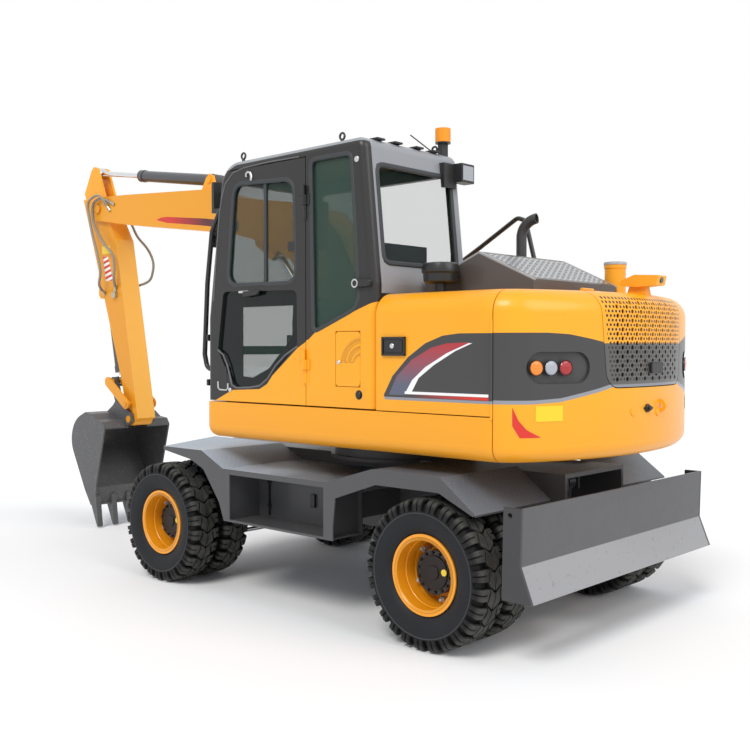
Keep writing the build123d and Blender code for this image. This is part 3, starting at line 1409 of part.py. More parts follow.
# Mirrors: two flat heads on the cab's rail
with BuildPart() as mirrors:
    for low_z, high_z, clamp_z, clamp_low_x, clamp_high_x in (
        (2375, 2560, 2440, -260, -185),
        (2610, 2825, 2626, -320, -185),
    ):
        mirror_y = cab_rail_y - rail_radius - fit
        with Locations((-198, mirror_y, low_z)):
            Box(26, 90, high_z - low_z, align=(Align.CENTER, Align.MAX, Align.MIN))
        with Locations((clamp_low_x, mirror_y, clamp_z)):
            Box(clamp_high_x - clamp_low_x, 25, 26, align=(Align.MIN, Align.MAX, Align.CENTER))
mirrors.part.label = "mirrors"
export_step(mirrors.part, "parts/mirrors.step")

# Cab lamps: the work lamp at the rear corner and the beacon on the roof
with BuildPart() as cab_lamps:
    with Locations((-1700, 270, 2695)):
        Box(60, 120, 155, align=(Align.MAX, Align.CENTER, Align.MIN))
    with Locations((-1735, 155, 2735)):
        Box(80, 130, 120, align=(Align.MAX, Align.CENTER, Align.MIN))
    with Locations((-1665, 225, 2840)):
        Box(36, 60, 160, align=(Align.CENTER, Align.CENTER, Align.MIN))
    with Locations((-1665, 225, 2994)):
        Cylinder(50, 96, align=(Align.CENTER, Align.CENTER, Align.MIN))
    with Locations((-1730, 341, 2139)):
        Cylinder(62, 92, rotation=(0, 90, 0), align=(Align.CENTER, Align.CENTER, Align.MAX))
    add(cab_block.part, mode=Mode.SUBTRACT)
cab_lamps.part.label = "cab_lamps"
export_step(cab_lamps.part, "parts/cab_lamps.step")

# Hoses that cross from the boom to the arm: name, side, standoff and their (x, z) points
hoses = [
    ("hose_left_front", 1, 56, [(2500, 2970), (2600, 3110), (2760, 3090), (2800, 3030), (2776, 2930), (2725, 2760),
                                (2640, 2568), (2590, 2400), (2640, 2270)]),
    ("hose_left_rear", 1, 26, [(2430, 3020), (2600, 3085), (2740, 3065), (2770, 2975), (2720, 2820), (2563, 2656),
                               (2435, 2555), (2400, 2429), (2410, 2330), (2470, 2215)]),
    ("hose_right", -1, 50, [(2640, 2960), (2612, 2870), (2514, 2747), (2352, 2620), (2265, 2502), (2266, 2400),
                            (2337, 2310), (2464, 2253)]),
]
for name, side, standoff, points in hoses:
    face_y = boom_y + side * boom_half_width
    arm_face_y = boom_y + side * arm_half_width
    run_y = face_y + side * standoff
    with BuildPart() as hose:
        with BuildLine() as hose_line:
            FilletPolyline(
                (points[0][0], face_y, points[0][1]),
                *[(x, run_y, z) for x, z in points],
                (points[-1][0], arm_face_y, points[-1][1]),
                radius=20,
            )
        with BuildSketch(Plane(origin=(points[0][0], face_y, points[0][1]), z_dir=(0, side, 0))):
            Circle(hose_radius)
        sweep(path=hose_line.wire())
    hose.part.label = name
    export_step(hose.part, f"parts/{name}.step")
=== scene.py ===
import math

import bmesh
import bpy
import numpy as np
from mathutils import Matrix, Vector


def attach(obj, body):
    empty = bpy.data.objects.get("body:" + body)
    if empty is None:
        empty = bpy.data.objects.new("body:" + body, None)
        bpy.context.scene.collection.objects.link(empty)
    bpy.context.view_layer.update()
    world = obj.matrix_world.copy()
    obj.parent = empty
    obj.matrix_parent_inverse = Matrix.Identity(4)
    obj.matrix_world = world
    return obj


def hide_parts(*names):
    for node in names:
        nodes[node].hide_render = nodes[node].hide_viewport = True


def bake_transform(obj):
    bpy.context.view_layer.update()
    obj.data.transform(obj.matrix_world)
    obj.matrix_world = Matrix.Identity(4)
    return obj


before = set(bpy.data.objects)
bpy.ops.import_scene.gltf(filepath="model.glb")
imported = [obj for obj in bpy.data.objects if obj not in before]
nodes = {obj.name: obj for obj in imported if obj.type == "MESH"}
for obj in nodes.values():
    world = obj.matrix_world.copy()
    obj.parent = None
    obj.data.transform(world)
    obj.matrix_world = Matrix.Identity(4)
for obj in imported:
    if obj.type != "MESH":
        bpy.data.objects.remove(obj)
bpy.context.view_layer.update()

# Chassis frame and slewing ring
# The real frame is a box welded from thick steel plate, with the ring bolted on top of it. Both are
# sprayed dark grey and gather dust from the wheels, most of it low down.
CHASSIS_GREY = (0.072, 0.072, 0.075)
DUST = (0.30, 0.27, 0.22)


def add_node(tree, kind, settings, sockets):
    """A node of that kind in the tree: its settings first, then its sockets, each a value or a link."""
    made = tree.nodes.new(kind)
    for name, value in settings.items():
        setattr(made, name, value)
    for key, value in sockets.items():
        value = value.socket if isinstance(value, S) else value
        if isinstance(value, bpy.types.NodeSocket):
            tree.links.new(value, made.inputs[key])
        else:
            made.inputs[key].default_value = value
    return made


class S:
    """A socket of the tree S.tree, or a plain number, with arithmetic that builds Math nodes."""

    tree = None

    def __init__(self, socket):
        self.socket = socket

    def math(self, operation, *others, clamp=False):
        settings = {"operation": operation, "use_clamp": clamp}
        sockets = dict(enumerate((self.socket, *others)))
        return S(add_node(S.tree, "ShaderNodeMath", settings, sockets).outputs[0])

    def __add__(self, other):
        return self.math("ADD", other)

    def __sub__(self, other):
        return self.math("SUBTRACT", other)

    def __rsub__(self, other):
        return S(other).math("SUBTRACT", self)

    def __mul__(self, other):
        return self.math("MULTIPLY", other)

    def __truediv__(self, other):
        return self.math("DIVIDE", other)

    def __rtruediv__(self, other):
        return S(other).math("DIVIDE", self)

    def __neg__(self):
        return self.math("MULTIPLY", -1.0)

    __radd__, __rmul__ = __add__, __mul__

    def abs(self):
        return self.math("ABSOLUTE")

    def at_least(self, other):
        return self.math("MAXIMUM", other)

    def at_most(self, *others):
        """The least of this and the others."""
        least = self
        for other in others:
            least = least.math("MINIMUM", other)
        return least

    def over(self, width=0.002):
        """0 below zero and 1 above it, with a soft edge of that width."""
        return (self / width).math("ADD", 0.5, clamp=True)


class Look:
    """A material being built: object coordinates, a Principled shader, and steps that mix its colour."""

    def __init__(self, name, colour, roughness=0.5, metallic=0.0, coat=0.0):
        self.material = bpy.data.materials.new(name)
        self.material.use_nodes = True
        self.tree = S.tree = self.material.node_tree
        self.inputs = self.tree.nodes["Principled BSDF"].inputs
        self.colour = (*colour, 1.0)
        self.inputs["Base Color"].default_value = self.colour
        self.inputs["Roughness"].default_value = roughness
        self.inputs["Metallic"].default_value = metallic
        self.inputs["Coat Weight"].default_value = coat
        self.inputs["Coat Roughness"].default_value = 0.12
        self.inputs["Specular IOR Level"].default_value = 0.35
        self.place = add_node(self.tree, "ShaderNodeTexCoord", {}, {}).outputs["Object"]
        parts = add_node(self.tree, "ShaderNodeSeparateXYZ", {}, {0: self.place})
        self.x, self.y, self.z = (S(o) for o in parts.outputs)

    def noise(self, scale, detail=3.0):
        sockets = {"Scale": scale, "Detail": detail, "Vector": self.place}
        return S(add_node(self.tree, "ShaderNodeTexNoise", {}, sockets).outputs["Fac"])

    def paint_over(self, mask, colour):
        """The colour so far where the mask is 0, the given one where it is 1."""
        sockets = {0: mask, 6: self.colour, 7: (*colour, 1.0)}
        self.colour = add_node(self.tree, "ShaderNodeMix", {"data_type": "RGBA"}, sockets).outputs[2]
        self.tree.links.new(self.colour, self.inputs["Base Color"])

    def drive(self, name, value):
        self.tree.links.new(value.socket, self.inputs[name])

    def bump(self, height, depth):
        made = add_node(self.tree, "ShaderNodeBump", {}, {"Distance": depth, "Height": height})
        self.tree.links.new(made.outputs[0], self.inputs["Normal"])


def painted(name, colour, roughness=0.34, coat=0.15, dust=0.10):
    """Sprayed paint: faint cloudiness, orange peel, and a little dust that thickens towards the ground."""
    look = Look(name, colour, roughness, 0.0, coat)
    look.paint_over((look.noise(2.3) - 0.5) * 0.16, tuple(c * 0.82 for c in colour))
    if dust:
        low = (1.25 - look.z).math("MULTIPLY", 0.8, clamp=True)
        look.paint_over((look.noise(9.0, 6.0) - 0.42).at_least(0.0) * low * dust * 6.0, DUST)
    look.drive("Roughness", look.noise(26.0) * 0.10 + (roughness - 0.05))
    look.bump(look.noise(420.0, 1.0), 0.00012)
    return look


def cover(look, *names):
    """Gives the CAD nodes of those names the material."""
    for name in names:
        mesh = nodes[name].data
        mesh.materials.clear()
        mesh.materials.append(look.material)


chassis_paint = painted("chassis_paint", CHASSIS_GREY, 0.45, 0.1, 0.05)
cover(chassis_paint, "chassis_frame", "slewing_ring")

# Fenders with their step boxes
# Folded and welded sheet steel, sprayed with the frame. Where boots go the sheet is tread plate,
# rolled with lens-shaped bars that lie each way in turn; a hinge line and a slot mark the step box.
TREAD_PITCH = 0.042
TREAD_BLUE = (0.36, 0.44, 0.54)
TREAD_RAISED = (0.50, 0.56, 0.64)
STEP_BACK_Y = (0.8105, 0.822)


def quads(points, around=False, along_too=False):
    """Vertices and quads of a grid points[u, v]; around joins the last u to the first, along_too v."""
    nu, nv = points.shape[:2]
    u = np.arange(nu if around else nu - 1)[:, None]
    v = np.arange(nv if along_too else nv - 1)[None, :]
    un, vn = (u + 1) % nu, (v + 1) % nv
    faces = np.stack([u * nv + v, un * nv + v, un * nv + vn, u * nv + vn], -1)
    return points.reshape(-1, 3), faces.reshape(-1, 4)


def shape(name, look, body, *parts, sharp=35.0):
    """One object of several grids, welded where their points meet, faced outwards, riding on a body."""
    starts = np.cumsum([0] + [len(v) for v, f in parts])
    vertices = np.concatenate([v for v, f in parts])
    faces = np.concatenate([f + start for (v, f), start in zip(parts, starts)])
    mesh = bpy.data.meshes.new(name)
    mesh.from_pydata(vertices.tolist(), [], faces.tolist())
    work = bmesh.new()
    work.from_mesh(mesh)
    bmesh.ops.remove_doubles(work, verts=work.verts, dist=2e-6)
    bmesh.ops.recalc_face_normals(work, faces=work.faces)
    work.to_mesh(mesh)
    work.free()
    mesh.polygons.foreach_set("use_smooth", np.ones(len(mesh.polygons), bool))
    mesh.set_sharp_from_angle(angle=math.radians(sharp))
    mesh.materials.append(look.material)
    made = bpy.data.objects.new(name, mesh)
    bpy.context.scene.collection.objects.link(made)
    if body:
        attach(made, body)
    return made


def slab(axis, outline, low, high, edge=0.0):
    """An outline swept along x, y or z: its middle, the outline less edge, the outline, and back."""
    plan = np.array(outline, float)
    middle = plan.mean(0)
    away = plan - middle
    inner = middle + away * (1.0 - edge / np.linalg.norm(away, axis=1).max())
    centre = plan * 0.0 + middle
    rows = [(centre, low), (inner, low), (plan, low + edge)]
    rows += [(plan, high - edge), (inner, high), (centre, high)]
    points = np.stack([np.column_stack([flat, np.full(len(flat), level)]) for flat, level in rows], 1)
    order = {"x": [2, 0, 1], "y": [0, 2, 1], "z": [0, 1, 2]}[axis]
    return quads(points[:, :, order], around=True)


def block(x, y, z, edge=0.002):
    """A box between pairs of x, y and z with small flats along four sides."""
    return slab("z", [(x[0], y[0]), (x[1], y[0]), (x[1], y[1]), (x[0], y[1])], z[0], z[1], edge)


def turned(centre, axis, profile, steps=24, loop=False):
    """A profile of (distance, radius) turned: centre + distance a + radius (cos t b + sin t c)."""
    a = np.array(axis, float) / np.linalg.norm(axis)
    b = np.cross(a, (0.0, 0.0, 1.0) if abs(a[2]) < 0.9 else (1.0, 0.0, 0.0))
    b /= np.linalg.norm(b)
    c = np.cross(a, b)
    t = np.arange(steps)[:, None, None] * 2.0 * math.pi / steps
    along_axis, radius = np.array(profile, float).T[:, None, :, None]
    points = np.array(centre, float) + along_axis * a + radius * (np.cos(t) * b + np.sin(t) * c)
    return quads(points, around=True, along_too=loop)


def disc(centre, axis, radius, height, steps=24):
    """A short turned cylinder with a softened rim, closed at both ends."""
    soft = min(radius, height) * 0.2
    profile = [(0, 0), (0, radius), (height - soft, radius), (height, radius - soft), (height, 0)]
    return turned(centre, axis, profile, steps)


plates = painted("tread_plate_paint", CHASSIS_GREY, 0.42, 0.1, 0.02)
u, v = (plates.x + plates.y) / TREAD_PITCH, (plates.x - plates.y) / TREAD_PITCH
cell = (u.math("FLOOR") + v.math("FLOOR")).math("PINGPONG", 1.0)
du, dv = (u.math("FRACT") - 0.5).abs(), (v.math("FRACT") - 0.5).abs()
one_way = (0.30 - du * 0.55 - dv * 2.4).at_least(0.0)
other_way = (0.30 - dv * 0.55 - du * 2.4).at_least(0.0)
bars = one_way * cell + other_way * (1.0 - cell)
normal = add_node(plates.tree, "ShaderNodeNewGeometry", {}, {}).outputs["True Normal"]
upright = S(add_node(plates.tree, "ShaderNodeSeparateXYZ", {}, {0: normal}).outputs[2])
upward = (upright.abs() - 0.6).over(0.1)
raised = (bars * 6.0).at_most(1.0) * upward
plates.bump(raised, 0.003)
# Upward faces above the sill are painted pale blue-grey, brighter towards the front: painted light. The
# raised bars are paler still: painted highlights.
top_side = upward * (plates.z - 0.60).over(0.01)
lit_tread_top = top_side * ((plates.x + 0.95).over(0.3) * 0.70 + 0.22)
plates.paint_over(lit_tread_top, TREAD_BLUE)
plates.paint_over(raised * lit_tread_top * 0.8, TREAD_RAISED)
cover(plates, "fender_left", "fender_right")

hinge_black = painted("step_hinges", (0.020, 0.020, 0.021), 0.4, 0.1, 0.0)
for side, name in ((1, "left"), (-1, "right")):
    depth = sorted(side * y for y in STEP_BACK_Y)
    line = block((-0.644, -0.636), depth, (0.545, 0.840), 0.001)
    leaves = [block((-0.655, -0.625), depth, (z, z + 0.020)) for z in (0.600, 0.760)]
    slot = block((-1.085, -1.045), depth, (0.642, 0.727))
    shape(f"step_hinge_{name}", hinge_black, "chassis", slot, line, *leaves)

# Axles, knuckles and the engine block
# Cast iron housings with rough skins, painted dark and never polished; the engine behind its doors is
# shown as one casting of its real size.
casting = Look("casting", (0.055, 0.055, 0.058), 0.62, 0.2)
casting.bump(casting.noise(160.0, 4.0), 0.0008)
cover(casting, "front_axle", "rear_axle", "knuckle_left", "knuckle_right", "engine")

# Tyres
# Eight moulded rubber tyres, two on each hub. The sidewall is smooth up to a thin rib; outside it stand
# slotted shoulder blocks that wrap round onto the tread, where chevron blocks meet in a zigzag.
LUGS = 25
TREAD_TOP = 425.0
AXLE_Z = 0.425
MIDDLE_X = -0.9905
HALF_WHEELBASE = 1.2245
RIB_RADIUS = 0.346
TYRE_Y = (0.7175, 0.9875)
WHEELS = (("front_left", 0.234, 1), ("front_right", 0.234, -1),
          ("rear_left", -2.215, 1), ("rear_right", -2.215, -1))
# columns: distance from the middle of the tread, radius, depth of the groove round the tyre, depth of the
# grooves across, depth of the slot in each block, share of the zigzag; all lengths in mm
TYRE_ROWS = [
    (0, 425, 14, 0, 0, 0.8), (3, 425, 14, 0, 0, 0.8), (4.5, 425, 0, 0, 0, 0.8), (26, 425, 0, 0, 0, 1),
    (44, 424.5, 0, 0, 0, 1), (46, 424.5, 16, 0, 0, 1), (54, 424, 16, 0, 0, 1), (56, 424, 0, 24, 0, 1),
    (70, 423, 0, 24, 0, 0.4), (73, 423, 0, 25, 8, 0.3), (95, 418.5, 0, 26, 10, 0),
    (106, 410, 0, 26, 10, 0), (112.5, 395, 0, 24, 10, 0), (115.5, 374, 0, 18, 10, 0),
    (116.5, 360, 0, 14, 8, 0), (116.5, 354, 0, 0, 0, 0), (117.5, 349, 0, 0, 0, 0),
    (117.5, 345, 0, 0, 0, 0), (115, 341, 0, 0, 0, 0), (115, 318, 0, 0, 0, 0), (112, 290, 0, 0, 0, 0),
    (105, 264, 0, 0, 0, 0), (93, 242, 0, 0, 0, 0), (81, 230, 0, 0, 0, 0), (80.5, 205.6, 0, 0, 0, 0)]
CENTRE_CUT = 16
# columns: place within one lug's pitch, in a shoulder groove, in a groove of the middle, in a slot
TYRE_STEPS = [(0.0, 0, 0, 0), (0.13, 0, 0, 0), (0.255, 0, 0, 0), (0.275, 0, 0, 1), (0.335, 0, 0, 1),
              (0.355, 0, 0, 0), (0.48, 0, 0, 0), (0.61, 0, 0, 0), (0.66, 1, 0, 0), (0.73, 1, 0, 0),
              (0.755, 1, 1, 0), (0.875, 1, 1, 0), (0.90, 1, 0, 0), (0.955, 1, 0, 0)]


def tyre(x, middle_y, lean):
    """Radius and width of each row, less the depth of the deepest cut there along the profile's normal;
    a lug's angle grows across the tread by 0.45 of a pitch times (60 - |y|) / 60: the chevron."""
    half = np.array(TYRE_ROWS, float)
    rows = np.vstack([half[:0:-1] * [-1, 1, 1, 1, 1, 1], half])
    steps = np.array([(lug + place, *cuts) for lug in range(LUGS) for place, *cuts in TYRE_STEPS])
    across, radius, ring_cut, cross_cut, slot_cut, wave = rows.T[:, None, :]
    slope_y, slope_r = np.gradient(rows[:, 0]), np.gradient(rows[:, 1])
    length = np.hypot(slope_y, slope_r)
    lug, groove, narrow, slot = steps.T[:, :, None]
    middle_cut = narrow * CENTRE_CUT * (np.abs(across) < 50.0)
    depth = np.maximum(np.maximum(ring_cut, middle_cut), np.maximum(groove * cross_cut, slot * slot_cut))
    outward_y, outward_r = -slope_r / length, slope_y / length
    zigzag = (np.abs((lug % 1.0) - 0.5) * 4.0 - 1.0) * 8.0 * wave * np.where(across < -20.0, -1.0, 1.0)
    y = (across - depth * outward_y + zigzag) / 1000.0
    r = np.minimum(radius - depth * outward_r, TREAD_TOP) / 1000.0
    chevron = np.clip(60.0 - np.abs(across), 0.0, 60.0) / 60.0 * 0.45 * lean
    angle = (lug + chevron) * 2.0 * math.pi / LUGS
    points = np.stack([x + r * np.sin(angle), middle_y + y + 0.0 * angle, AXLE_Z + r * np.cos(angle)], -1)
    return quads(points, around=True, along_too=True), depth.ravel() / 14.0


def from_axle(look):
    """Distance from the nearer axle: sqrt((|x - middle| - half the wheelbase)^2 + (z - axle height)^2)."""
    dx, dz = (look.x - MIDDLE_X).abs() - HALF_WHEELBASE, look.z - AXLE_Z
    return (dx * dx + dz * dz).math("SQRT")


rubber = Look("tyre_rubber", (0.010, 0.010, 0.011), 0.62)
rubber.inputs["Specular IOR Level"].default_value = 0.22
from_hub = from_axle(rubber)
worn = (from_hub - 0.400).over(0.03) * (rubber.noise(14.0, 6.0) - 0.10).at_least(0.0)
rubber.paint_over((RIB_RADIUS - from_hub).over(0.004) * rubber.noise(7.0, 5.0), (0.016, 0.018, 0.022))
# A thin ring on the sidewall's rib is painted paler: a painted highlight.
rib_highlight = (from_hub - RIB_RADIUS + 0.003).over(0.002) * (RIB_RADIUS + 0.003 - from_hub).over(0.002)
rubber.paint_over(rib_highlight, (0.050, 0.050, 0.054))
rubber.paint_over(worn * 1.5, (0.078, 0.076, 0.068))
# The cuts are painted near black by their depth: painted shade in the grooves.
cut = S(add_node(rubber.tree, "ShaderNodeAttribute", {"attribute_name": "cut"}, {}).outputs["Fac"])
rubber.paint_over((cut - 0.15).at_least(0.0).at_most(1.0), (0.002, 0.002, 0.002))
rubber.drive("Roughness", rubber.noise(40.0) * 0.15 + 0.50)
rubber.bump(rubber.noise(220.0, 3.0), 0.0005)
for name, x, side in WHEELS:
    grids, cuts = zip(*[tyre(x, side * y, -side) for y in TYRE_Y])
    pair = shape(f"rubber_{name}", rubber, f"wheel_{name}", *grids, sharp=28.0)
    pair.data.attributes.new("cut", "FLOAT", "POINT").data.foreach_set("value", np.concatenate(cuts))
    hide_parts(f"tyre_{name}")

# Rims and hubs
# Each pair of dished steel rims is sprayed yellow and clamped to one dark hub by five steel studs with
# nuts. The hub's cover has small bolts round it and one round yellow plug.
HUB_RADIUS = 0.128
HUB_FACE = 0.984
RIM_MIDDLE = 0.8525
WHEEL_DISC = 0.864
STUD_CIRCLE = 0.158
rim_paint = painted("rim_paint", (0.86, 0.33, 0.010), 0.30, 0.3, 0.0)
from_hub = from_axle(rim_paint)
rim_paint.paint_over((HUB_RADIUS - from_hub).over(0.001), (0.012, 0.008, 0.007))
lip = (from_hub - 0.1932).at_least(0.0).at_most(0.0165)
# A thin dark ring at the lip's crease is painted shade.
lip_crease_shade = (from_hub - 0.2085).over(0.001) * (0.2115 - from_hub).over(0.001)
rim_paint.paint_over(lip_crease_shade * 0.75, (0.30, 0.10, 0.004))
rim_paint.bump(lip, 0.9)
cover(rim_paint, *[f"rim_{name}" for name, x, side in WHEELS])
# columns: distance outwards from the middle between the two rims, radius
RIM_DISH = [(0.152, 0.1935), (0.148, 0.190), (0.078, 0.188), (0.068, 0.180), (0.030, 0.176), (0.017, 0.164),
            (0.0135, 0.140), (0.0115, 0.140), (0.0115, 0.1935)]
hub_dark = painted("hub_bolts", (0.010, 0.007, 0.006), 0.45, 0.0, 0.0)
stud_steel = Look("stud_steel", (0.40, 0.40, 0.41), 0.3, 0.2)
stud_steel.drive("Roughness", stud_steel.noise(80.0) * 0.2 + 0.2)
plug_yellow = painted("hub_plug", (0.80, 0.62, 0.05), 0.4, 0.2, 0.0)


def round_hub(x, y, radius, count, phase):
    """Points evenly round the axle: x + R cos(phase + 2 pi k / n), z likewise with the sine."""
    t = math.radians(phase) + np.arange(count) * 2.0 * math.pi / count
    return np.column_stack([x + radius * np.cos(t), np.full(count, y), AXLE_Z + radius * np.sin(t)])


for name, x, side in WHEELS:
    body, out = f"wheel_{name}", (0, side, 0)
    covers = [disc((x, side * HUB_FACE, AXLE_Z), out, 0.098, 0.010, 40)]
    covers += [disc((x, side * (HUB_FACE + 0.009), AXLE_Z), out, 0.040, 0.008)]
    heads = [disc(p, out, 0.009, 0.012, 6) for p in round_hub(x, side * HUB_FACE, 0.111, 14, 8)]
    shape(f"hub_cover_{name}", hub_dark, body, *covers, *heads)
    feet = round_hub(x, side * WHEEL_DISC, STUD_CIRCLE, 5, 45)
    studs = [disc(p, out, 0.010, 0.100, 10) for p in feet]
    nuts = [disc(p, out, 0.018, 0.028, 6) for p in feet + (0.0, side * 0.060, 0.0)]
    shape(f"studs_{name}", stud_steel, body, *studs, *nuts)
    spot = round_hub(x, side * (HUB_FACE + 0.009), 0.080, 1, 172)[0]
    shape(f"plug_{name}", plug_yellow, body, disc(spot, out, 0.019, 0.006))
    dish = turned((x, side * RIM_MIDDLE, AXLE_Z), out, RIM_DISH, 64, loop=True)
    shape(f"rim_dish_{name}", rim_paint, body, dish)

# Dozer blade
# Welded plate, bent along one crease and sprayed with the frame. Its foot is scoured paler by the soil,
# and its end plates have softened corners.
BLADE_CREASE = 0.556
blade_paint = painted("blade_paint", (0.085, 0.085, 0.089), 0.45, 0.1, 0.03)
scoured = (BLADE_CREASE - blade_paint.z).over(0.004) * (blade_paint.y.abs() * -1.0 + 1.04).over(0.004)
blade_paint.paint_over(scoured * (-2.80 - blade_paint.x).over(0.01) * 0.8, (0.34, 0.34, 0.35))
# The end plates are painted darker than the face: painted shade on the sideways faces.
blade_paint.paint_over((blade_paint.y.abs() - 1.040).over(0.002) * 0.8, (0.034, 0.034, 0.036))
blade_paint.paint_over((blade_paint.noise(30.0, 6.0) - 0.6).at_least(0.0) * 2.0, (0.05, 0.045, 0.04))
cover(blade_paint, "blade")

# Hydraulic cylinders and rods
# Honed steel barrels sprayed dark, and ground rods plated with hard chrome, which stay bright because
# each stroke wipes them. The track rod is plain steel.
barrel = Look("cylinder_barrel", (0.085, 0.087, 0.095), 0.38, 0.35, 0.2)
barrel.drive("Roughness", barrel.noise(30.0) * 0.15 + 0.30)
cover(barrel, "boom_cylinder", "arm_cylinder", "bucket_cylinder", "blade_cylinder")
chrome = Look("chrome_rod", (0.72, 0.73, 0.75), 0.12, 1.0)
chrome.drive("Roughness", chrome.noise(60.0) * 0.08 + 0.08)
cover(chrome, "boom_rod", "arm_rod", "bucket_rod", "blade_rod", "track_rod")

# Side doors and tail
# Pressed steel doors and a heavy rear shell, sprayed yellow. A dark band with a pale lower bevel runs
# round both; on the door it ends in a rounded nose with a crescent and two thin bars, and the tail
# has a red chevron and a blank yellow plate. All of it is cut film laid on the paint.
YELLOW = (0.90, 0.375, 0.012)
# the yellow of the painted shade low on the body
SKIRT_SHADE_YELLOW = (0.74, 0.285, 0.008)
SEAM_Z = 1.33
DOOR_REAR_X = -2.636
BAND_GREY = (0.050, 0.048, 0.048)
BEVEL_GREY = (0.26, 0.27, 0.30)
RED = (0.62, 0.03, 0.02)
WHITE = (0.85, 0.85, 0.85)
# height of the band's edges at each bearing about x = -1.80, in radians from the rear
BAND_TOP = [(0.0, 1.702), (0.33, 1.702), (0.44, 1.728), (0.56, 1.753), (0.66, 1.760), (0.95, 1.759)]
BAND_FOOT = [(0.0, 1.466), (0.30, 1.468), (0.40, 1.440), (0.60, 1.393), (0.72, 1.384), (0.95, 1.384)]
# the door's curves: places x at each height z
NOSE = [(1.38, -1.886), (1.41, -1.878), (1.519, -1.944), (1.626, -2.058), (1.705, -2.185),
        (1.746, -2.307), (1.758, -2.42)]
CRESCENT = [(1.41, -1.916), (1.42, -1.920), (1.52, -1.977), (1.614, -2.090), (1.681, -2.231),
            (1.704, -2.337), (1.710, -2.499)]
CURVE_FRONT = [(1.40, -2.030), (1.423, -2.039), (1.498, -2.090), (1.572, -2.185), (1.651, -2.338),
               (1.710, -2.500)]
CURVE_BACK = [(1.40, -2.066), (1.437, -2.091), (1.511, -2.138), (1.585, -2.247), (1.663, -2.397),
              (1.710, -2.524)]


def along(x, points):
    """z(x) = z0 + m0 (x - x0) + sum of (m_i - m_(i-1)) max(x - x_i, 0): straight from point to point."""
    xs, zs = np.array(points, float).T
    slopes = np.diff(zs) / np.diff(xs)
    total = (x - xs[0]) * slopes[0] + zs[0]
    for start, change in zip(xs[1:-1], np.diff(slopes)):
        total = total + (x - start).at_least(0.0) * float(change)
    return total


def yellow_paint(name):
    """Body yellow with painted shade that deepens a little towards and below the low seam."""
    look = painted(name, YELLOW)
    look.paint_over((SEAM_Z - look.z).over(0.30) * 0.35, SKIRT_SHADE_YELLOW)
    return look


body = yellow_paint("body_paint")
bearing = body.y.abs().math("ARCTAN2", -(body.x + 1.80))
foot = along(bearing, BAND_FOOT)
inside = (along(bearing, BAND_TOP) - body.z).at_most(body.z - foot)
nose = (along(body.z, NOSE) - body.x).at_most(body.z - 1.384, 1.758 - body.z)
on_door = (body.x - DOOR_REAR_X).over(0.002)
band = on_door * nose.over(0.002) + (1.0 - on_door) * inside.over(0.002)
body.paint_over(band, BAND_GREY)
bevel = on_door * (1.399 - body.z).over(0.002) + (1.0 - on_door) * (foot + 0.020 - body.z).over(0.002)
body.paint_over(band * bevel, BEVEL_GREY)
on_face = on_door * (body.y.abs() - 1.0).over(0.002)
crescent = (along(body.z, CRESCENT) - body.x).at_most(body.x - along(body.z, CURVE_FRONT), 1.708 - body.z)
crescent = crescent.at_most(body.z - 1.412).over(0.002) * on_face
body.paint_over(crescent, (0.10, 0.115, 0.165))
redder = (body.z - 1.47).math("MULTIPLY", 4.4, clamp=True)
body.paint_over(crescent * redder, (0.42, 0.035, 0.045))
front, back = along(body.z, CURVE_FRONT), along(body.z, CURVE_BACK)
curve = (front - body.x).at_most(body.x - back, 1.705 - body.z, body.z - 1.430).over(0.002)
bar = (body.z - 1.419).at_most(1.434 - body.z, -2.036 - body.x, body.x + 2.612).over(0.002)
body.paint_over(curve.at_least(bar) * on_face, WHITE)
under = (body.z - 1.402).at_most(1.418 - body.z, body.x + 2.612, -2.05 - body.x).over(0.002)
body.paint_over(under * on_face * (-2.09 - body.x).math("MULTIPLY", 2.4, clamp=True), RED)
CHEVRON_FRONT = [(1.200, -2.760), (1.208, -2.756), (1.271, -2.727), (1.366, -2.7265)]
CHEVRON_BACK = [(1.205, -2.823), (1.214, -2.818), (1.252, -2.780), (1.300, -2.752), (1.366, -2.7285)]
chevron = (along(body.z, CHEVRON_FRONT) - body.x).at_most(body.x - along(body.z, CHEVRON_BACK))
chevron = chevron.at_most(1.366 - body.z, body.z - 1.207).over(0.001)
body.paint_over(chevron * (body.y.abs() - 0.8).over(0.002), RED)
latch_plate = (body.x + 2.048).at_most(-1.868 - body.x, 1.744 - body.z, body.z - 1.632)
body.paint_over(latch_plate.over(0.001) * (body.y.abs() - 1.0305).over(0.001), (0.014, 0.014, 0.015))
cover(body, "side_door_left", "side_door_right", "tail")

PADDLE = [(-2.028, 1.652), (-1.905, 1.652), (-1.890, 1.668), (-1.890, 1.712), (-1.905, 1.726),
          (-2.028, 1.726)]
latch_black = painted("latch_black", (0.014, 0.014, 0.015), 0.4, 0.2, 0.0)
lock_steel = Look("lock_steel", (0.62, 0.62, 0.64), 0.25, 1.0)
lock_steel.drive("Roughness", lock_steel.noise(90.0) * 0.2 + 0.15)
for side, name in ((1, "left"), (-1, "right")):
    out = (0, side, 0)
    low, high = sorted((side * 1.0375, side * 1.044))
    levels, places = ((1.634, 1.645), (1.731, 1.742)), ((-2.046, -2.036), (-1.880, -1.870))
    frame_edges = [block((-2.046, -1.870), (low, high), z, 0.003) for z in levels]
    frame_edges += [block(x, (low, high), (1.634, 1.742), 0.003) for x in places]
    low, high = sorted((side * 1.0375, side * 1.042))
    paddle = slab("y", PADDLE, low, high, 0.003)
    shape(f"paddle_latch_{name}", latch_black, f"side_door_{name[0]}", paddle, *frame_edges)
    key = disc((-1.952, side * 1.0415, 1.690), out, 0.015, 0.006)
    shape(f"latch_lock_{name}", lock_steel, f"side_door_{name[0]}", key)

# Tail lamps, blank plate, tow pin and rear lens
# Moulded lenses clipped over bulbs: amber, clear and red, side by side in a hollow of the band. The
# plate beneath them is thin yellow film. The tow pin is turned steel between two welded bosses.
TAIL_MIDDLE_X = -1.165
TAIL_RADIUS = 1.8625
LAMP_BEARING = math.radians(23.5)


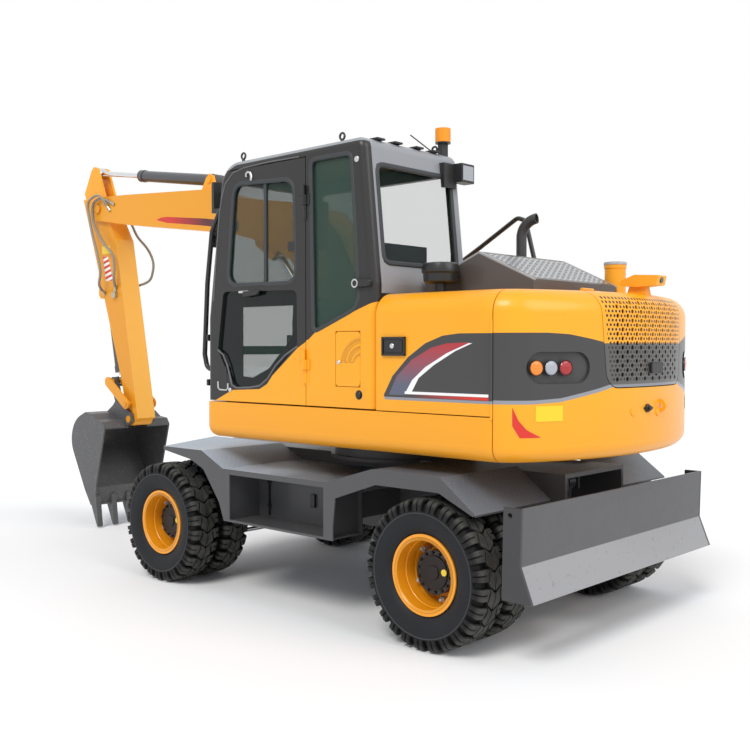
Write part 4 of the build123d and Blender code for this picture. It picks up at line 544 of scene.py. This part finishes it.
def lens(name, colour, roughness=0.12):
    """A coloured lens with fine cells pressed into it, under a clear coat."""
    look = Look(name, colour, roughness, 0.0, 0.8)
    cells = add_node(look.tree, "ShaderNodeTexVoronoi", {}, {"Scale": 110.0, "Vector": look.place})
    look.bump(S(cells.outputs["Distance"]), 0.0015)
    return look


amber = lens("amber_lens", (0.85, 0.22, 0.006))
clear = lens("clear_lens", (0.36, 0.38, 0.42))
red_lens = lens("red_lens", (0.36, 0.004, 0.008))
plate_yellow = painted("blank_plate", (0.80, 0.56, 0.02), 0.35, 0.1, 0.0)
for side, name in ((1, "left"), (-1, "right")):
    outward = np.array([-math.cos(LAMP_BEARING), side * math.sin(LAMP_BEARING), 0.0])
    sideways = np.array([math.sin(LAMP_BEARING), side * math.cos(LAMP_BEARING), 0.0])
    middle = np.array([TAIL_MIDDLE_X, 0.0, 1.574]) + outward * (TAIL_RADIUS - 0.0095)
    for offset, look in ((0.144, amber), (0.052, clear), (-0.040, red_lens)):
        kind, place = look.material.name, middle + sideways * offset
        dome = [(0, 0), (0, 0.039), (0.004, 0.039), (0.010, 0.034), (0.013, 0.020), (0.014, 0)]
        shape(f"{kind}_{name}", look, "upper", turned(place, outward, dome, 32))
        rim = [(0.0, 0.039), (0.007, 0.0395), (0.007, 0.0425), (0.0, 0.043)]
        shape(f"lamp_rim_{kind}_{name}", latch_black, "upper", turned(place, outward, rim, 32, loop=True))
bearings = np.linspace(0.49, 0.40, 7)[:, None]
levels = np.array([1.292, 1.292, 1.374, 1.374])
depths = np.array([-0.0045, 0.0, 0.0, -0.0045]) + TAIL_RADIUS
for side, name in ((1, "left"), (-1, "right")):
    x, y = TAIL_MIDDLE_X - depths * np.cos(bearings), side * depths * np.sin(bearings)
    points = np.stack([x, y, levels + 0.0 * bearings], -1)
    shape(f"blank_plate_{name}", plate_yellow, "upper", quads(points, along_too=True))
TOW_PIN = (-3.018, 0.064, 1.337)
tow_pin = [disc(TOW_PIN, (-1, 0, 0), 0.024, 0.020), disc(TOW_PIN, (-1, 0, 0), 0.013, 0.034),
           block((-3.034, -3.018), (0.010, 0.100), (1.330, 1.344), 0.003)]
shape("tow_pin", latch_black, "upper", *tow_pin)
shape("tow_bosses", body, "upper", disc((-3.006, 0.208, 1.321), (-1, 0.1, 0), 0.022, 0.014),
      disc((-3.018, -0.064, 1.308), (-1, 0, 0), 0.022, 0.014))
glass_black = Look("lens_glass", (0.01, 0.01, 0.012), 0.08, 0.0, 1.0)
shape("camera_lens", glass_black, "upper", disc((-3.018, -0.100, 2.072), (-1, 0, -0.15), 0.018, 0.012))

# Deck, top cover, tanks, side panel and fuel flap
# Sheet steel panels over the machine's base, sprayed yellow. The flap is pressed with curved ribs and
# has a lock with a steel face; the panel below it is held by one black turning knob.
LEFTWARDS = (0, 1, 0)
LOCK_AT = (-1.512, 1.0275, 1.592)
KNOB_AT = (-1.680, 1.0270, 1.402)
plain = yellow_paint("body_plain")
cover(plain, "deck", "top_cover", "tanks", "side_panel")
flap_paint = painted("flap_paint", YELLOW)
dx, dz = flap_paint.x + 1.700, flap_paint.z - 1.570
rings = (dx * dx + dz * dz).math("SQRT") / 0.042
ribs = (rings - 1.4).at_most(4.0 - rings, (flap_paint.z - 1.592) * 20.0).over(0.2)
ridge = ((rings.math("FRACT") - 0.5).abs() - 0.12).math("MULTIPLY", 4.0, clamp=True)
# The troughs between the ribs are painted darker: painted shade.
flap_paint.paint_over(ribs * (1.0 - ridge) * 0.45, (0.55, 0.20, 0.005))
flap_paint.bump(ribs * ridge, 0.008)
cover(flap_paint, "fuel_flap")
flap_lock = [disc(LOCK_AT, LEFTWARDS, 0.013, 0.006), disc(LOCK_AT, LEFTWARDS, 0.005, 0.010)]
shape("flap_lock", lock_steel, "flap", *flap_lock)
knob = [disc(KNOB_AT, LEFTWARDS, 0.021, 0.014, 32), disc(KNOB_AT, LEFTWARDS, 0.028, 0.005, 32)]
shape("panel_knob", latch_black, "upper", *knob)

# Rear door
# A thin steel door pierced all over with staggered holes, yellow above the band and dark within it, held
# by one black latch. The smaller holes between the pierced ones are dark spots: painted shade, not cut.
BAND_EDGES = (1.478, 1.705)


def staggered(u, v, pitch, rise):
    """2 cos(2 pi u / pitch) cos(pi v / rise) + cos(2 pi v / rise): 3 at the middle of each hole."""
    one = (u * (2.0 * math.pi / pitch)).math("COSINE") * (v * (math.pi / rise)).math("COSINE")
    return one * 2.0 + (v * (2.0 * math.pi / rise)).math("COSINE")


grille = painted("grille_paint", YELLOW)
grille.paint_over((BAND_EDGES[1] - grille.z).over(0.0015), (0.095, 0.090, 0.086))
grille.paint_over((BAND_EDGES[0] - grille.z).over(0.0015) * 0.8, BEVEL_GREY)
off_latch = ((grille.y + 0.022).abs() - 0.078).at_least((grille.z - 1.567).abs() - 0.042)
half_width = (grille.z - 1.46) * 0.12 + 0.395
# Dark spots between the pierced holes: painted shade where more holes would show the dark inside.
hole_shade = (staggered(grille.y, grille.z - 1.506, 0.028868, 0.025) - 0.55) * 0.01
hole_shade = hole_shade.at_most(half_width - grille.y.abs(), grille.z - 1.492, 1.962 - grille.z, off_latch)
grille.paint_over(hole_shade.over(0.0015) * (-2.90 - grille.x).over(0.002), (0.020, 0.016, 0.013))
cover(grille, "rear_door")
LATCH_PLAN = [(-0.088, 1.536), (0.038, 1.536), (0.045, 1.545), (0.045, 1.588), (0.035, 1.598),
              (-0.085, 1.598)]
rear_latch = slab("x", LATCH_PLAN, -3.046, -3.026, 0.004)
shape("rear_latch_slot", latch_black, "rear_door_body", rear_latch)

# Hood, pre-cleaner and exhaust
# A pierced steel lid over the engine; the pale strip along its folded edges is a painted highlight, and the
# dark spots on its mesh top are painted shade in its holes. Beside it stand a flat grey cap on the air
# intake, a black drum and a bent steel pipe.
HOOD_EDGE = [(-2.620, 2.065), (-2.232, 2.240), (-2.040, 2.160), (-1.830, 2.095)]
hood_paint = painted("hood_paint", (0.078, 0.070, 0.068), 0.42, 0.20, 0.0)
above_edge = hood_paint.z - along(hood_paint.x, HOOD_EDGE)
# A pale strip along the folded edges of the sides: a painted highlight.
edge = (above_edge + 0.012).over(0.002)
rims = (hood_paint.y - 0.575).at_least(-0.305 - hood_paint.y).over(0.002)
hood_paint.paint_over(edge * rims, (0.30, 0.31, 0.33))
mesh_top = (-2.255 - hood_paint.x).at_most(hood_paint.x + 2.585, 0.555 - hood_paint.y)
mesh_top = mesh_top.at_most(hood_paint.y + 0.285, above_edge + 0.015)
hood_paint.paint_over(mesh_top.over(0.002) * 0.8, (0.46, 0.47, 0.48))
# Dark spots over the mesh top: painted shade in its holes.
slope_run = (-2.421 - hood_paint.x) / 0.9075 + 0.1299
holes = staggered(slope_run, 0.510 - hood_paint.y, 0.03464, 0.030) - 0.35
hood_paint.paint_over(holes.over(0.1) * mesh_top.over(0.002), (0.030, 0.028, 0.028))
cover(hood_paint, "hood")
exhaust_paint = painted("exhaust_paint", (0.045, 0.043, 0.043), 0.5, 0.1, 0.0)
cover(exhaust_paint, "exhaust")
grey_plastic = painted("grey_moulding", (0.36, 0.37, 0.40), 0.45, 0.2, 0.0)
bowl = [(0, 0), (0, 0.072), (0.012, 0.072), (0.018, 0.068), (0.022, 0.040), (0.024, 0)]
drum = [(0.0, 0.0), (0.0, 0.030), (0.062, 0.030), (0.066, 0.085), (0.074, 0.100), (0.120, 0.103),
        (0.128, 0.112), (0.150, 0.112), (0.176, 0.104), (0.184, 0.085), (0.186, 0.0)]
shape("intake_drum", latch_black, "upper", turned((-2.045, 0.720, 1.992), (0, 0, 1), drum, 40))
shape("precleaner_cap", grey_plastic, "upper", turned((-2.555, -0.410, 2.2025), (0, 0, 1), bowl, 40))

# Cab shell
# Bent and welded steel sections sprayed dark grey; a pale strip along the roof's top and rounded edge
# is a painted highlight, and the rear panel is paler grey. Black rubber stops sit on the front post,
# and the roof has vent slots and screwed lifting eyes.
CAB_GREY = (0.019, 0.018, 0.018)
ROOF_HIGHLIGHT_AND_PANEL_GREY = (0.28, 0.29, 0.31)
CAB_REAR = [(1.32, -1.802), (2.055, -1.802), (2.922, -1.712)]
CAB_TOP = [(-1.802, 2.880), (-1.700, 2.922), (-0.56, 2.912), (-0.45, 2.870), (-0.397, 2.824),
           (-0.352, 2.737)]


def cab_paint(name):
    """Dark paint, a pale strip along the roof's outline that is a painted highlight, and a paler grey rear
    panel.
    """
    look = painted(name, CAB_GREY, 0.40, 0.15, 0.0)
    top = (look.z - along(look.x, CAB_TOP) + 0.026).at_most(look.z - 2.45)
    rear = (along(look.z, CAB_REAR) + 0.012 - look.x).at_most(0.965 - look.y, look.z - 2.0)
    look.paint_over(top.at_least(rear).over(0.002), ROOF_HIGHLIGHT_AND_PANEL_GREY)
    return look


cab = cab_paint("cab_paint")
cover(cab, "cab_floor", "cab_front", "cab_back", "cab_left", "cab_roof")
stops = [block((-0.243, -0.222), (0.985, 1.018), (z - 0.022, z + 0.022), 0.004) for z in (1.747, 1.440)]
shape("door_stops", latch_black, "upper", *stops)
slots = [block((-1.705, -1.640), (y - 0.035, y + 0.035), (2.918, 2.930)) for y in (0.86, 0.70, 0.50, 0.34)]
shape("roof_vents", latch_black, "upper", *slots)
eye_steel = painted("lifting_eyes", (0.030, 0.029, 0.029), 0.4, 0.3, 0.0)
angles = np.linspace(0.0, 2.0 * math.pi, 9)[:-1]
loop = [(0.007 * math.sin(a), 0.020 + 0.007 * math.cos(a)) for a in angles]
eyes = []
for x, y in ((-0.544, 0.950), (-1.467, 0.950), (-1.616, 0.250)):
    eyes.append(turned((x, y, 2.958), (0, 1, 0), loop, 20, loop=True))
    eyes.append(disc((x, y, 2.905), (0, 0, 1), 0.011, 0.030))
shape("roof_eyes", eye_steel, "upper", *eyes)

# Cab door
# A framed steel door hung on two hinges, the lower one yellow, and dark above one line and yellow below
# it. Fixed to it are a pale bar along its folded edge, which is a painted highlight, a silver pull, a
# moulded grip with its lock and a grab hook; the post behind it carries a silver cap and a black handle.
CAB_LINE = [(-1.802, 1.955), (-1.649, 1.897), (-1.308, 1.771), (-1.249, 1.727), (-1.152, 1.677),
            (-0.915, 1.500), (-0.865, 1.445), (-0.790, 1.410), (-0.514, 1.396), (-0.284, 1.300)]
FACE_Y = 1.026
door = cab_paint("cab_door_paint")
below = (along(door.x, CAB_LINE) - door.z).over(0.0015) * (door.y - 0.985).over(0.002)
door.paint_over(below, YELLOW)
cover(door, "cab_door")


def rounded(outline, radius, steps=6):
    """A closed outline whose corners c become curves (1-t)^2 a + 2 t (1-t) c + t^2 b between its sides."""
    corner = np.array(outline, float)
    back, ahead = np.roll(corner, 1, 0) - corner, np.roll(corner, -1, 0) - corner
    back_length, ahead_length = np.linalg.norm(back, axis=1), np.linalg.norm(ahead, axis=1)
    reach = np.minimum(radius, 0.45 * np.minimum(back_length, ahead_length))[:, None]
    start, end = corner + back / back_length[:, None] * reach, corner + ahead / ahead_length[:, None] * reach
    t = np.linspace(0.0, 1.0, steps)[None, :, None]
    curve = (1 - t) ** 2 * start[:, None] + 2 * t * (1 - t) * corner[:, None] + t ** 2 * end[:, None]
    return curve.reshape(-1, 2)


def carried(path, section, up, closed=False):
    """A section of (aside, up) offsets carried along a path, ends filled: p + a (tangent x up) + b up."""
    line = np.array(path, float)
    if closed:
        tangent = np.roll(line, -1, 0) - np.roll(line, 1, 0)
    else:
        tangent = np.gradient(line, axis=0)
    tangent /= np.linalg.norm(tangent, axis=1)[:, None]
    aside = np.cross(tangent, np.array(up, float))
    aside /= np.linalg.norm(aside, axis=1)[:, None]
    upward = np.cross(aside, tangent)
    a, b = np.array(section, float).T[:, None, :, None]
    rows = line[:, None] + a * aside[:, None] + b * upward[:, None]
    if not closed:
        ends = np.repeat(line[[0, -1], None], rows.shape[1], 1)
        rows = np.concatenate([ends[:1], rows, ends[1:]])
    return quads(rows, around=closed, along_too=True)


def round_section(radius, sides=10):
    """The points r cos t, r sin t."""
    t = np.arange(sides) * 2.0 * math.pi / sides
    return np.column_stack([radius * np.cos(t), radius * np.sin(t)])


def on_side(points, y):
    """Points (x, z) placed at y."""
    flat = np.array(points, float)
    return np.column_stack([flat[:, 0], np.full(len(flat), y), flat[:, 1]])


def wire(points, y, radius):
    """A round bar along points (x, z) at y."""
    return carried(on_side(points, y), round_section(radius, 8), LEFTWARDS)


# The pale grey bars along the door's folded edge and glass foot are a painted highlight.
edge_highlight_grey = painted("folded_edge_highlight", (0.12, 0.12, 0.13), 0.35, 0.1, 0.0)
EDGE_LINE = [(-0.319, 1.998), (-0.356, 2.359), (-0.384, 2.573), (-0.410, 2.680), (-0.450, 2.775),
             (-0.530, 2.838), (-0.643, 2.858), (-0.906, 2.866), (-1.172, 2.862)]
GLASS_FOOT = [(-0.364, 1.664), (-0.420, 1.630), (-0.462, 1.560), (-0.510, 1.430), (-0.560, 1.412),
              (-0.690, 1.418), (-0.790, 1.432), (-0.870, 1.480), (-0.945, 1.563), (-1.036, 1.632),
              (-1.152, 1.689)]
folds = [wire(EDGE_LINE, 1.0285, 0.005), wire(GLASS_FOOT, 1.0285, 0.006)]
shape("door_edge", edge_highlight_grey, "cab_door_body", *folds)
silver = Look("silver_pull", (0.60, 0.60, 0.61), 0.3, 1.0)
silver.drive("Roughness", silver.noise(70.0) * 0.2 + 0.2)
shape("door_pull", silver, "cab_door_body", block((-0.700, -0.600), (1.028, 1.046), (2.038, 2.052), 0.004))
GRIP = [(-0.640, 2.010), (-0.640, 2.050), (-0.810, 2.050), (-0.790, 2.022)]
GRIP_RECESS = [(-0.372, 1.400), (-0.372, 1.552), (-0.452, 1.552), (-0.470, 1.400)]
grip = slab("y", rounded(GRIP, 0.012), FACE_Y, FACE_Y + 0.022, 0.005)
recess = slab("y", rounded(GRIP_RECESS, 0.02), FACE_Y - 0.002, FACE_Y + 0.0055, 0.002)
window_latch = block((-1.128, -1.072), (1.012, 1.034), (2.285, 2.345), 0.005)
pin = [(0, 0), (0, 0.014), (0.060, 0.014), (0.061, 0.011), (0.064, 0.011), (0.065, 0.014),
       (0.125, 0.014), (0.125, 0)]
upper_hinge, lower_hinge = (turned((-1.224, 1.030, z), (0, 0, 1), pin, 16) for z in (2.470, 1.460))
shape("door_fittings", latch_black, "cab_door_body", grip, recess, window_latch, upper_hinge)
leaf = block((-1.258, -1.195), (1.024, 1.032), (1.450, 1.595))
shape("yellow_hinge", door, "cab_door_body", lower_hinge, leaf)
shape("post_cap", silver, "upper", disc((-1.666, 1.0255, 2.785), LEFTWARDS, 0.018, 0.012))
HANDLE = [(-1.645, 2.030), (-1.645, 2.084), (-1.790, 2.078), (-1.790, 2.036)]
handle = slab("y", rounded(HANDLE, 0.024), FACE_Y, FACE_Y + 0.032, 0.008)
shape("rear_post_handle", latch_black, "upper", handle)
collar = [(0, 0.018), (0.004, 0.018), (0.004, 0.026), (0, 0.026)]
shape("handle_rim", silver, "upper", turned((-1.672, 1.056, 2.057), LEFTWARDS, collar, 24, loop=True))
lip = [(-0.366, 1.450), (-0.368, 1.408), (-0.385, 1.396), (-0.455, 1.394), (-0.470, 1.406), (-0.470, 1.44)]
shape("grip_lip", silver, "cab_door_body", wire(lip, 1.032, 0.006))
shape("door_lock", silver, "cab_door_body", disc((-0.492, 1.029, 1.396), LEFTWARDS, 0.014, 0.007))
HOOK = [(-0.676, 2.792), (-0.672, 2.812), (-0.690, 2.824), (-0.712, 2.818), (-0.722, 2.795), (-0.720, 2.765)]
shape("grab_hook", silver, "cab_door_body", wire(HOOK, 1.036, 0.008))

# Windows
# Tinted safety glass held by black rubber; the side window slides behind a middle bar. The lower pane
# is printed black round one clear shape.
GREEN_TINT = (0.030, 0.065, 0.050)


def pane(name, tint, alpha):
    """A thin coated pane with sharp reflections; alpha is its plain value, which a drive refines."""
    look = Look(name, tint, 0.03)
    look.inputs["Alpha"].default_value = alpha
    look.inputs["Specular IOR Level"].default_value = 0.25
    return look


cab_pane = pane("cab_panes", GREEN_TINT, 0.22)
cab_pane.drive("Alpha", (cab_pane.y - 0.96).over(0.01) * 0.66 + 0.10)
cover(cab_pane, "cab_glass")
door_pane = pane("door_panes", (0.018, 0.042, 0.034), 0.57)
printed = (2.062 - door_pane.z).over(0.003)
window = (-0.600 - door_pane.x).at_most(door_pane.x + 1.089, 1.945 - door_pane.z)
CLEAR_FOOT = [(-1.09, 1.755), (-0.860, 1.545), (-0.70, 1.483), (-0.60, 1.49)]
window = window.at_most(door_pane.z - along(door_pane.x, CLEAR_FOOT))
printed = printed * (1.0 - window.over(0.003))
door_pane.drive("Alpha", ((door_pane.z - 2.062).over(0.003) * 0.15 + 0.42).at_least(printed))
door_pane.paint_over(printed, (0.006, 0.009, 0.009))
cover(door_pane, "door_glass")
rubber_seal = Look("window_rubber", (0.040, 0.044, 0.047), 0.5)
rubber_seal.bump(rubber_seal.noise(300.0, 1.0), 0.0003)
SEAL = [(-0.015, -0.010), (0.015, -0.010), (0.015, 0.002), (0.008, 0.007), (-0.008, 0.007), (-0.015, 0.002)]
SIDE_WINDOW = [(-0.463, 2.095), (-0.535, 2.765), (-1.118, 2.735), (-1.137, 2.084)]
QUARTER_WINDOW = [(-1.291, 1.771), (-1.269, 2.832), (-1.618, 2.832), (-1.680, 1.970), (-1.640, 1.905)]
REAR_WINDOW = [(0.230, 2.180), (0.930, 2.180), (0.930, 2.765), (0.230, 2.765)]
side_seal = carried(on_side(rounded(SIDE_WINDOW, 0.095, 8), FACE_Y), SEAL, LEFTWARDS, True)
bar = block((-0.853, -0.827), (1.006, 1.022), (2.090, 2.752), 0.003)
shape("side_window_rubber", rubber_seal, "cab_door_body", side_seal, bar)
quarter_seal = carried(on_side(rounded(QUARTER_WINDOW, 0.05), FACE_Y), SEAL, LEFTWARDS, True)
rear_line = rounded(REAR_WINDOW, 0.06)
rear_x = -1.802 + (rear_line[:, 1] - 2.055) * 0.1038 - 0.001
rear_seal = carried(np.column_stack([rear_x, rear_line]), SEAL, (-1, 0, 0.1), True)
shape("fixed_window_rubber", rubber_seal, "upper", quarter_seal, rear_seal)

# Seat and controls
# A suspended seat in woven cloth over foam, moulded consoles with levers, a rimmed steering wheel, and
# a small red bottle strapped to the post.
cloth = Look("seat_cloth", (0.030, 0.031, 0.035), 0.85)
weave = add_node(cloth.tree, "ShaderNodeTexVoronoi", {}, {"Scale": 420.0, "Vector": cloth.place})
cloth.bump(S(weave.outputs["Distance"]), 0.0012)
cover(cloth, "seat")
plastic = Look("dark_plastic", (0.022, 0.022, 0.024), 0.5)
plastic.bump(plastic.noise(500.0, 2.0), 0.0003)
bottle = (plastic.z - 2.285).at_most(-1.20 - plastic.x, plastic.y - 0.86).over(0.004)
plastic.paint_over(bottle, (0.45, 0.02, 0.015))
cover(plastic, "controls")

# Handrails, mirrors and cab lamps
# Bent steel tube sprayed black, moulded mirror heads clamped to it, a work lamp with a clear lens and
# an amber beacon on its stem; a thin rod aerial leans over the roof.
fitting = Look("rail_black", (0.016, 0.016, 0.017), 0.42, 0.0, 0.3)
fitting.bump(fitting.noise(260.0, 1.0), 0.0002)
cover(fitting, "handrails", "mirrors")
lamp_look = Look("lamp_housing", (0.020, 0.020, 0.021), 0.45, 0.0, 0.1)
beacon = (lamp_look.z - 3.002).over(0.002)
lamp_look.paint_over(beacon, (0.90, 0.30, 0.01))
lamp_look.bump(lamp_look.noise(240.0, 1.0), 0.0002)
cover(lamp_look, "cab_lamps")
WORK_LENS = [(0.102, 2.748), (0.208, 2.748), (0.208, 2.842), (0.102, 2.842)]
shape("work_lamp_lens", clear, "upper", slab("x", WORK_LENS, -1.820, -1.814, 0.003))
shape("round_lamp_lens", clear, "upper", disc((-1.820, 0.341, 2.139), (-1, 0, 0), 0.050, 0.008, 32))
aerial = [(-1.690, 0.315, 2.905), (-1.700, 0.420, 2.930), (-1.710, 0.600, 2.985)]
shape("aerial", fitting, "upper", carried(aerial, round_section(0.004, 8), (1, 0, 0)))

# Boom, arm and guide links
# Box sections welded from steel plate and sprayed yellow. The boom's sides carry a red sweep that
# darkens towards its foot, the arm's a block of red and white bars; one small yellow plate is blank.
BOOM_Y = -0.100
SWEEP_TOP = [(0.9, 2.745), (1.05, 2.768), (1.434, 2.812), (1.602, 2.832), (1.700, 2.832), (1.762, 2.818)]
SWEEP_FOOT = [(0.9, 2.680), (1.022, 2.703), (1.434, 2.757), (1.602, 2.777), (1.762, 2.816)]
boom = painted("boom_paint", YELLOW, dust=0.0)
flank = ((boom.y - BOOM_Y).abs() - 0.1295).over(0.001)
sweep = (along(boom.x, SWEEP_TOP) - boom.z).at_most(boom.z - along(boom.x, SWEEP_FOOT), boom.x - 0.62)
sweep = sweep.over(0.0015) * flank
boom.paint_over(sweep, RED)
boom.paint_over(sweep * (1.55 - boom.x).math("MULTIPLY", 2.0, clamp=True) * 0.92, (0.050, 0.018, 0.024))
# The side faces outside the sweep are painted a darker yellow: painted shade.
boom.paint_over(flank * (1.0 - sweep) * 0.35, (0.62, 0.24, 0.010))
cover(boom, "boom", "guide_links")
arm = painted("arm_paint", YELLOW, dust=0.0)
BARS_FRONT = [(2.31, 2.635), (2.545, 2.684)]
BARS_REAR = [(2.31, 2.515), (2.545, 2.598)]
run = (arm.z - 2.310) + (arm.x - 2.60) * 0.25
bars = (arm.z - 2.312).at_most(2.545 - arm.z, along(arm.z, BARS_FRONT) - arm.x)
bars = bars.at_most(arm.x - along(arm.z, BARS_REAR)).over(0.002)
stripe = ((run / 0.052 + 10.0).math("FRACT") - 0.5).over(0.03)
side_face = ((arm.y - BOOM_Y).abs() - 0.0965).over(0.001)
label = (2.645 - arm.z).at_most(arm.z - 2.572, 2.70 - arm.x, arm.x - 2.565).over(0.002)
# The side faces are painted a darker yellow: painted shade.
arm.paint_over(side_face * 0.5, (0.60, 0.23, 0.008))
# The face towards the cab is painted paler: painted light on the face the light falls on.
rear_face = along(arm.z, [(1.020, 2.122), (2.692, 2.460)]) + 0.003 - arm.x
arm.paint_over(rear_face.over(0.001) * 0.6, (0.96, 0.52, 0.10))
arm.paint_over(label * side_face, (0.86, 0.60, 0.05))
arm.paint_over(bars * side_face, WHITE)
arm.paint_over(bars * side_face * stripe, RED)
cover(arm, "arm")

# Bucket and its link
# Rolled and welded steel plate with cast teeth bolted to its lip, all worn to bare metal inside and at
# the tips.
bucket_paint = painted("bucket_paint", (0.085, 0.085, 0.088), 0.42, 0.1, 0.04)
scratch = bucket_paint.noise(55.0, 8.0) - 0.55
bucket_paint.paint_over(scratch.at_least(0.0) * 2.5, (0.22, 0.22, 0.23))
cover(bucket_paint, "bucket", "bucket_link")

# Hydraulic hoses between boom and arm
# Braided rubber hoses with crimped steel ends, clamped at the boom's nose and at the arm and hanging
# free between; the sleeves are fixed in place and the crimped ends ride the boom and the arm. A steel
# coupling block sits on the arm beside them.
# columns: node it stands for, side, distance off the boom's side, its (x, z) points
HOSES = [
    ("hose_left_front", 1, 0.056,
     [(2.500, 2.970), (2.600, 3.110), (2.760, 3.090), (2.800, 3.030), (2.776, 2.930),
      (2.725, 2.760), (2.640, 2.568), (2.590, 2.400), (2.612, 2.270), (2.655, 2.190)]),
    ("hose_left_rear", 1, 0.026,
     [(2.430, 3.020), (2.600, 3.085), (2.740, 3.065), (2.770, 2.975), (2.720, 2.820),
      (2.563, 2.656), (2.435, 2.555), (2.400, 2.429), (2.410, 2.330), (2.470, 2.215)]),
    ("hose_right", -1, 0.050,
     [(2.640, 2.960), (2.612, 2.870), (2.514, 2.747), (2.352, 2.620),
      (2.265, 2.502), (2.266, 2.400), (2.337, 2.310), (2.464, 2.253)])]
FERRULE = [(-0.004, 0.0), (-0.004, 0.017), (0.022, 0.017), (0.026, 0.0142), (0.050, 0.0142), (0.050, 0.0)]


def through(points, count):
    """A smooth line: the span from p1 to p2 is a cubic in s with end slopes (p2 - p0) / 2, (p3 - p1) / 2."""
    knots = np.array(points, float)
    padded = np.vstack([2 * knots[0] - knots[1], knots, 2 * knots[-1] - knots[-2]])
    p0, p1, p2, p3 = (padded[i:len(padded) - 3 + i, None] for i in range(4))
    s = np.linspace(0.0, 1.0, count, endpoint=False)[None, :, None]
    squared, cubed = 2 * p0 - 5 * p1 + 4 * p2 - p3, 3 * p1 - p0 - 3 * p2 + p3
    line = 0.5 * (2 * p1 + (p2 - p0) * s + squared * s ** 2 + cubed * s ** 3)
    return np.vstack([line.reshape(-1, 3), knots[-1:]])


hose_rubber = Look("hose_sleeve", (0.270, 0.245, 0.195), 0.5)
hose_rubber.bump(hose_rubber.noise(600.0, 1.0), 0.0003)
crimp_steel = Look("crimped_ends", (0.50, 0.48, 0.40), 0.35, 1.0)
crimp_steel.drive("Roughness", crimp_steel.noise(90.0) * 0.2 + 0.25)
for name, side, off, points in HOSES:
    boom_side, arm_side = BOOM_Y + side * 0.130, BOOM_Y + side * 0.097
    run = [(x, boom_side + side * off, z) for x, z in points]
    run[0] = (points[0][0], boom_side, points[0][1])
    run[-1] = (points[-1][0], arm_side, points[-1][1])
    line = through(run, 8)
    sleeve = carried(line, round_section(0.012), (0, 1, 0))
    tube = shape(f"sleeve_{name}", hose_rubber, None, sleeve, sharp=60.0)
    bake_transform(tube)
    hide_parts(name)
    for end, inner, rider in ((line[0], line[1], "boom_body"), (line[-1], line[-2], "arm_body")):
        shape(f"ferrule_{name}_{rider[0]}", crimp_steel, rider, turned(end, inner - end, FERRULE, 16))

coupling = block((2.438, 2.500), (-0.006, 0.028), (2.150, 2.205), 0.006)
shape("hose_coupling", crimp_steel, "arm_body", coupling)

# Floor, light and camera
# White all round with a soft key from behind the camera, a weaker one from the right, and a pale floor
# that takes the shadow.
bpy.context.scene.view_settings.view_transform = "Standard"
world = bpy.data.worlds.new("studio")
bpy.context.scene.world = world
world.use_nodes = True
tree = S.tree = world.node_tree
background = tree.nodes["Background"]
background.inputs[0].default_value = (0.86, 0.90, 0.96, 1.0)
background.inputs[1].default_value = 0.62
white = add_node(tree, "ShaderNodeBackground", {}, {0: (1.0, 1.0, 1.0, 1.0)})
rays = add_node(tree, "ShaderNodeLightPath", {}, {}).outputs
seen = S(rays["Is Camera Ray"]).at_least(S(rays["Is Transmission Ray"])).at_least(S(rays["Is Glossy Ray"]))
mix = add_node(tree, "ShaderNodeMixShader", {}, {0: seen, 1: background.outputs[0], 2: white.outputs[0]})
tree.links.new(mix.outputs[0], tree.nodes["World Output"].inputs["Surface"])

pale = Look("pale_floor", (0.93, 0.93, 0.93), 0.9)
corners = np.array([[(-60.0, -60.0, 0.0), (60.0, -60.0, 0.0)], [(-60.0, 60.0, 0.0), (60.0, 60.0, 0.0)]])
floor = shape("floor", pale, None, quads(corners))


def sun(name, towards, strength, angle, colour=(1.0, 1.0, 1.0)):
    """A sun shining along a direction, with its disc's angle in degrees."""
    light = bpy.data.lights.new(name, "SUN")
    light.energy = strength
    light.angle = math.radians(angle)
    light.color = colour
    lamp = bpy.data.objects.new(name, light)
    lamp.rotation_mode = "QUATERNION"
    lamp.rotation_quaternion = Vector(towards).to_track_quat("-Z", "Y")
    bpy.context.scene.collection.objects.link(lamp)


sun("key", (0.25, -0.75, -0.85), 1.75, 25, (1.0, 0.98, 0.95))
sun("rear_fill", (0.9, 0.1, -0.6), 1.15, 40)

camera_data = bpy.data.cameras.new("photo_camera")
camera_data.lens = 47.51
camera_data.sensor_width = 36.0
camera_data.clip_end = 200.0
camera = bpy.data.objects.new("photo_camera", camera_data)
camera.location = (-5.6874, 5.2578, 1.6887)
yaw, pitch = math.radians(47.466), math.radians(-1.666)
camera.rotation_mode = "QUATERNION"
gaze = Vector((math.cos(yaw) * math.cos(pitch), -math.sin(yaw) * math.cos(pitch), math.sin(pitch)))
camera.rotation_quaternion = gaze.to_track_quat("-Z", "Y")
bpy.context.scene.collection.objects.link(camera)
bpy.context.scene.camera = camera
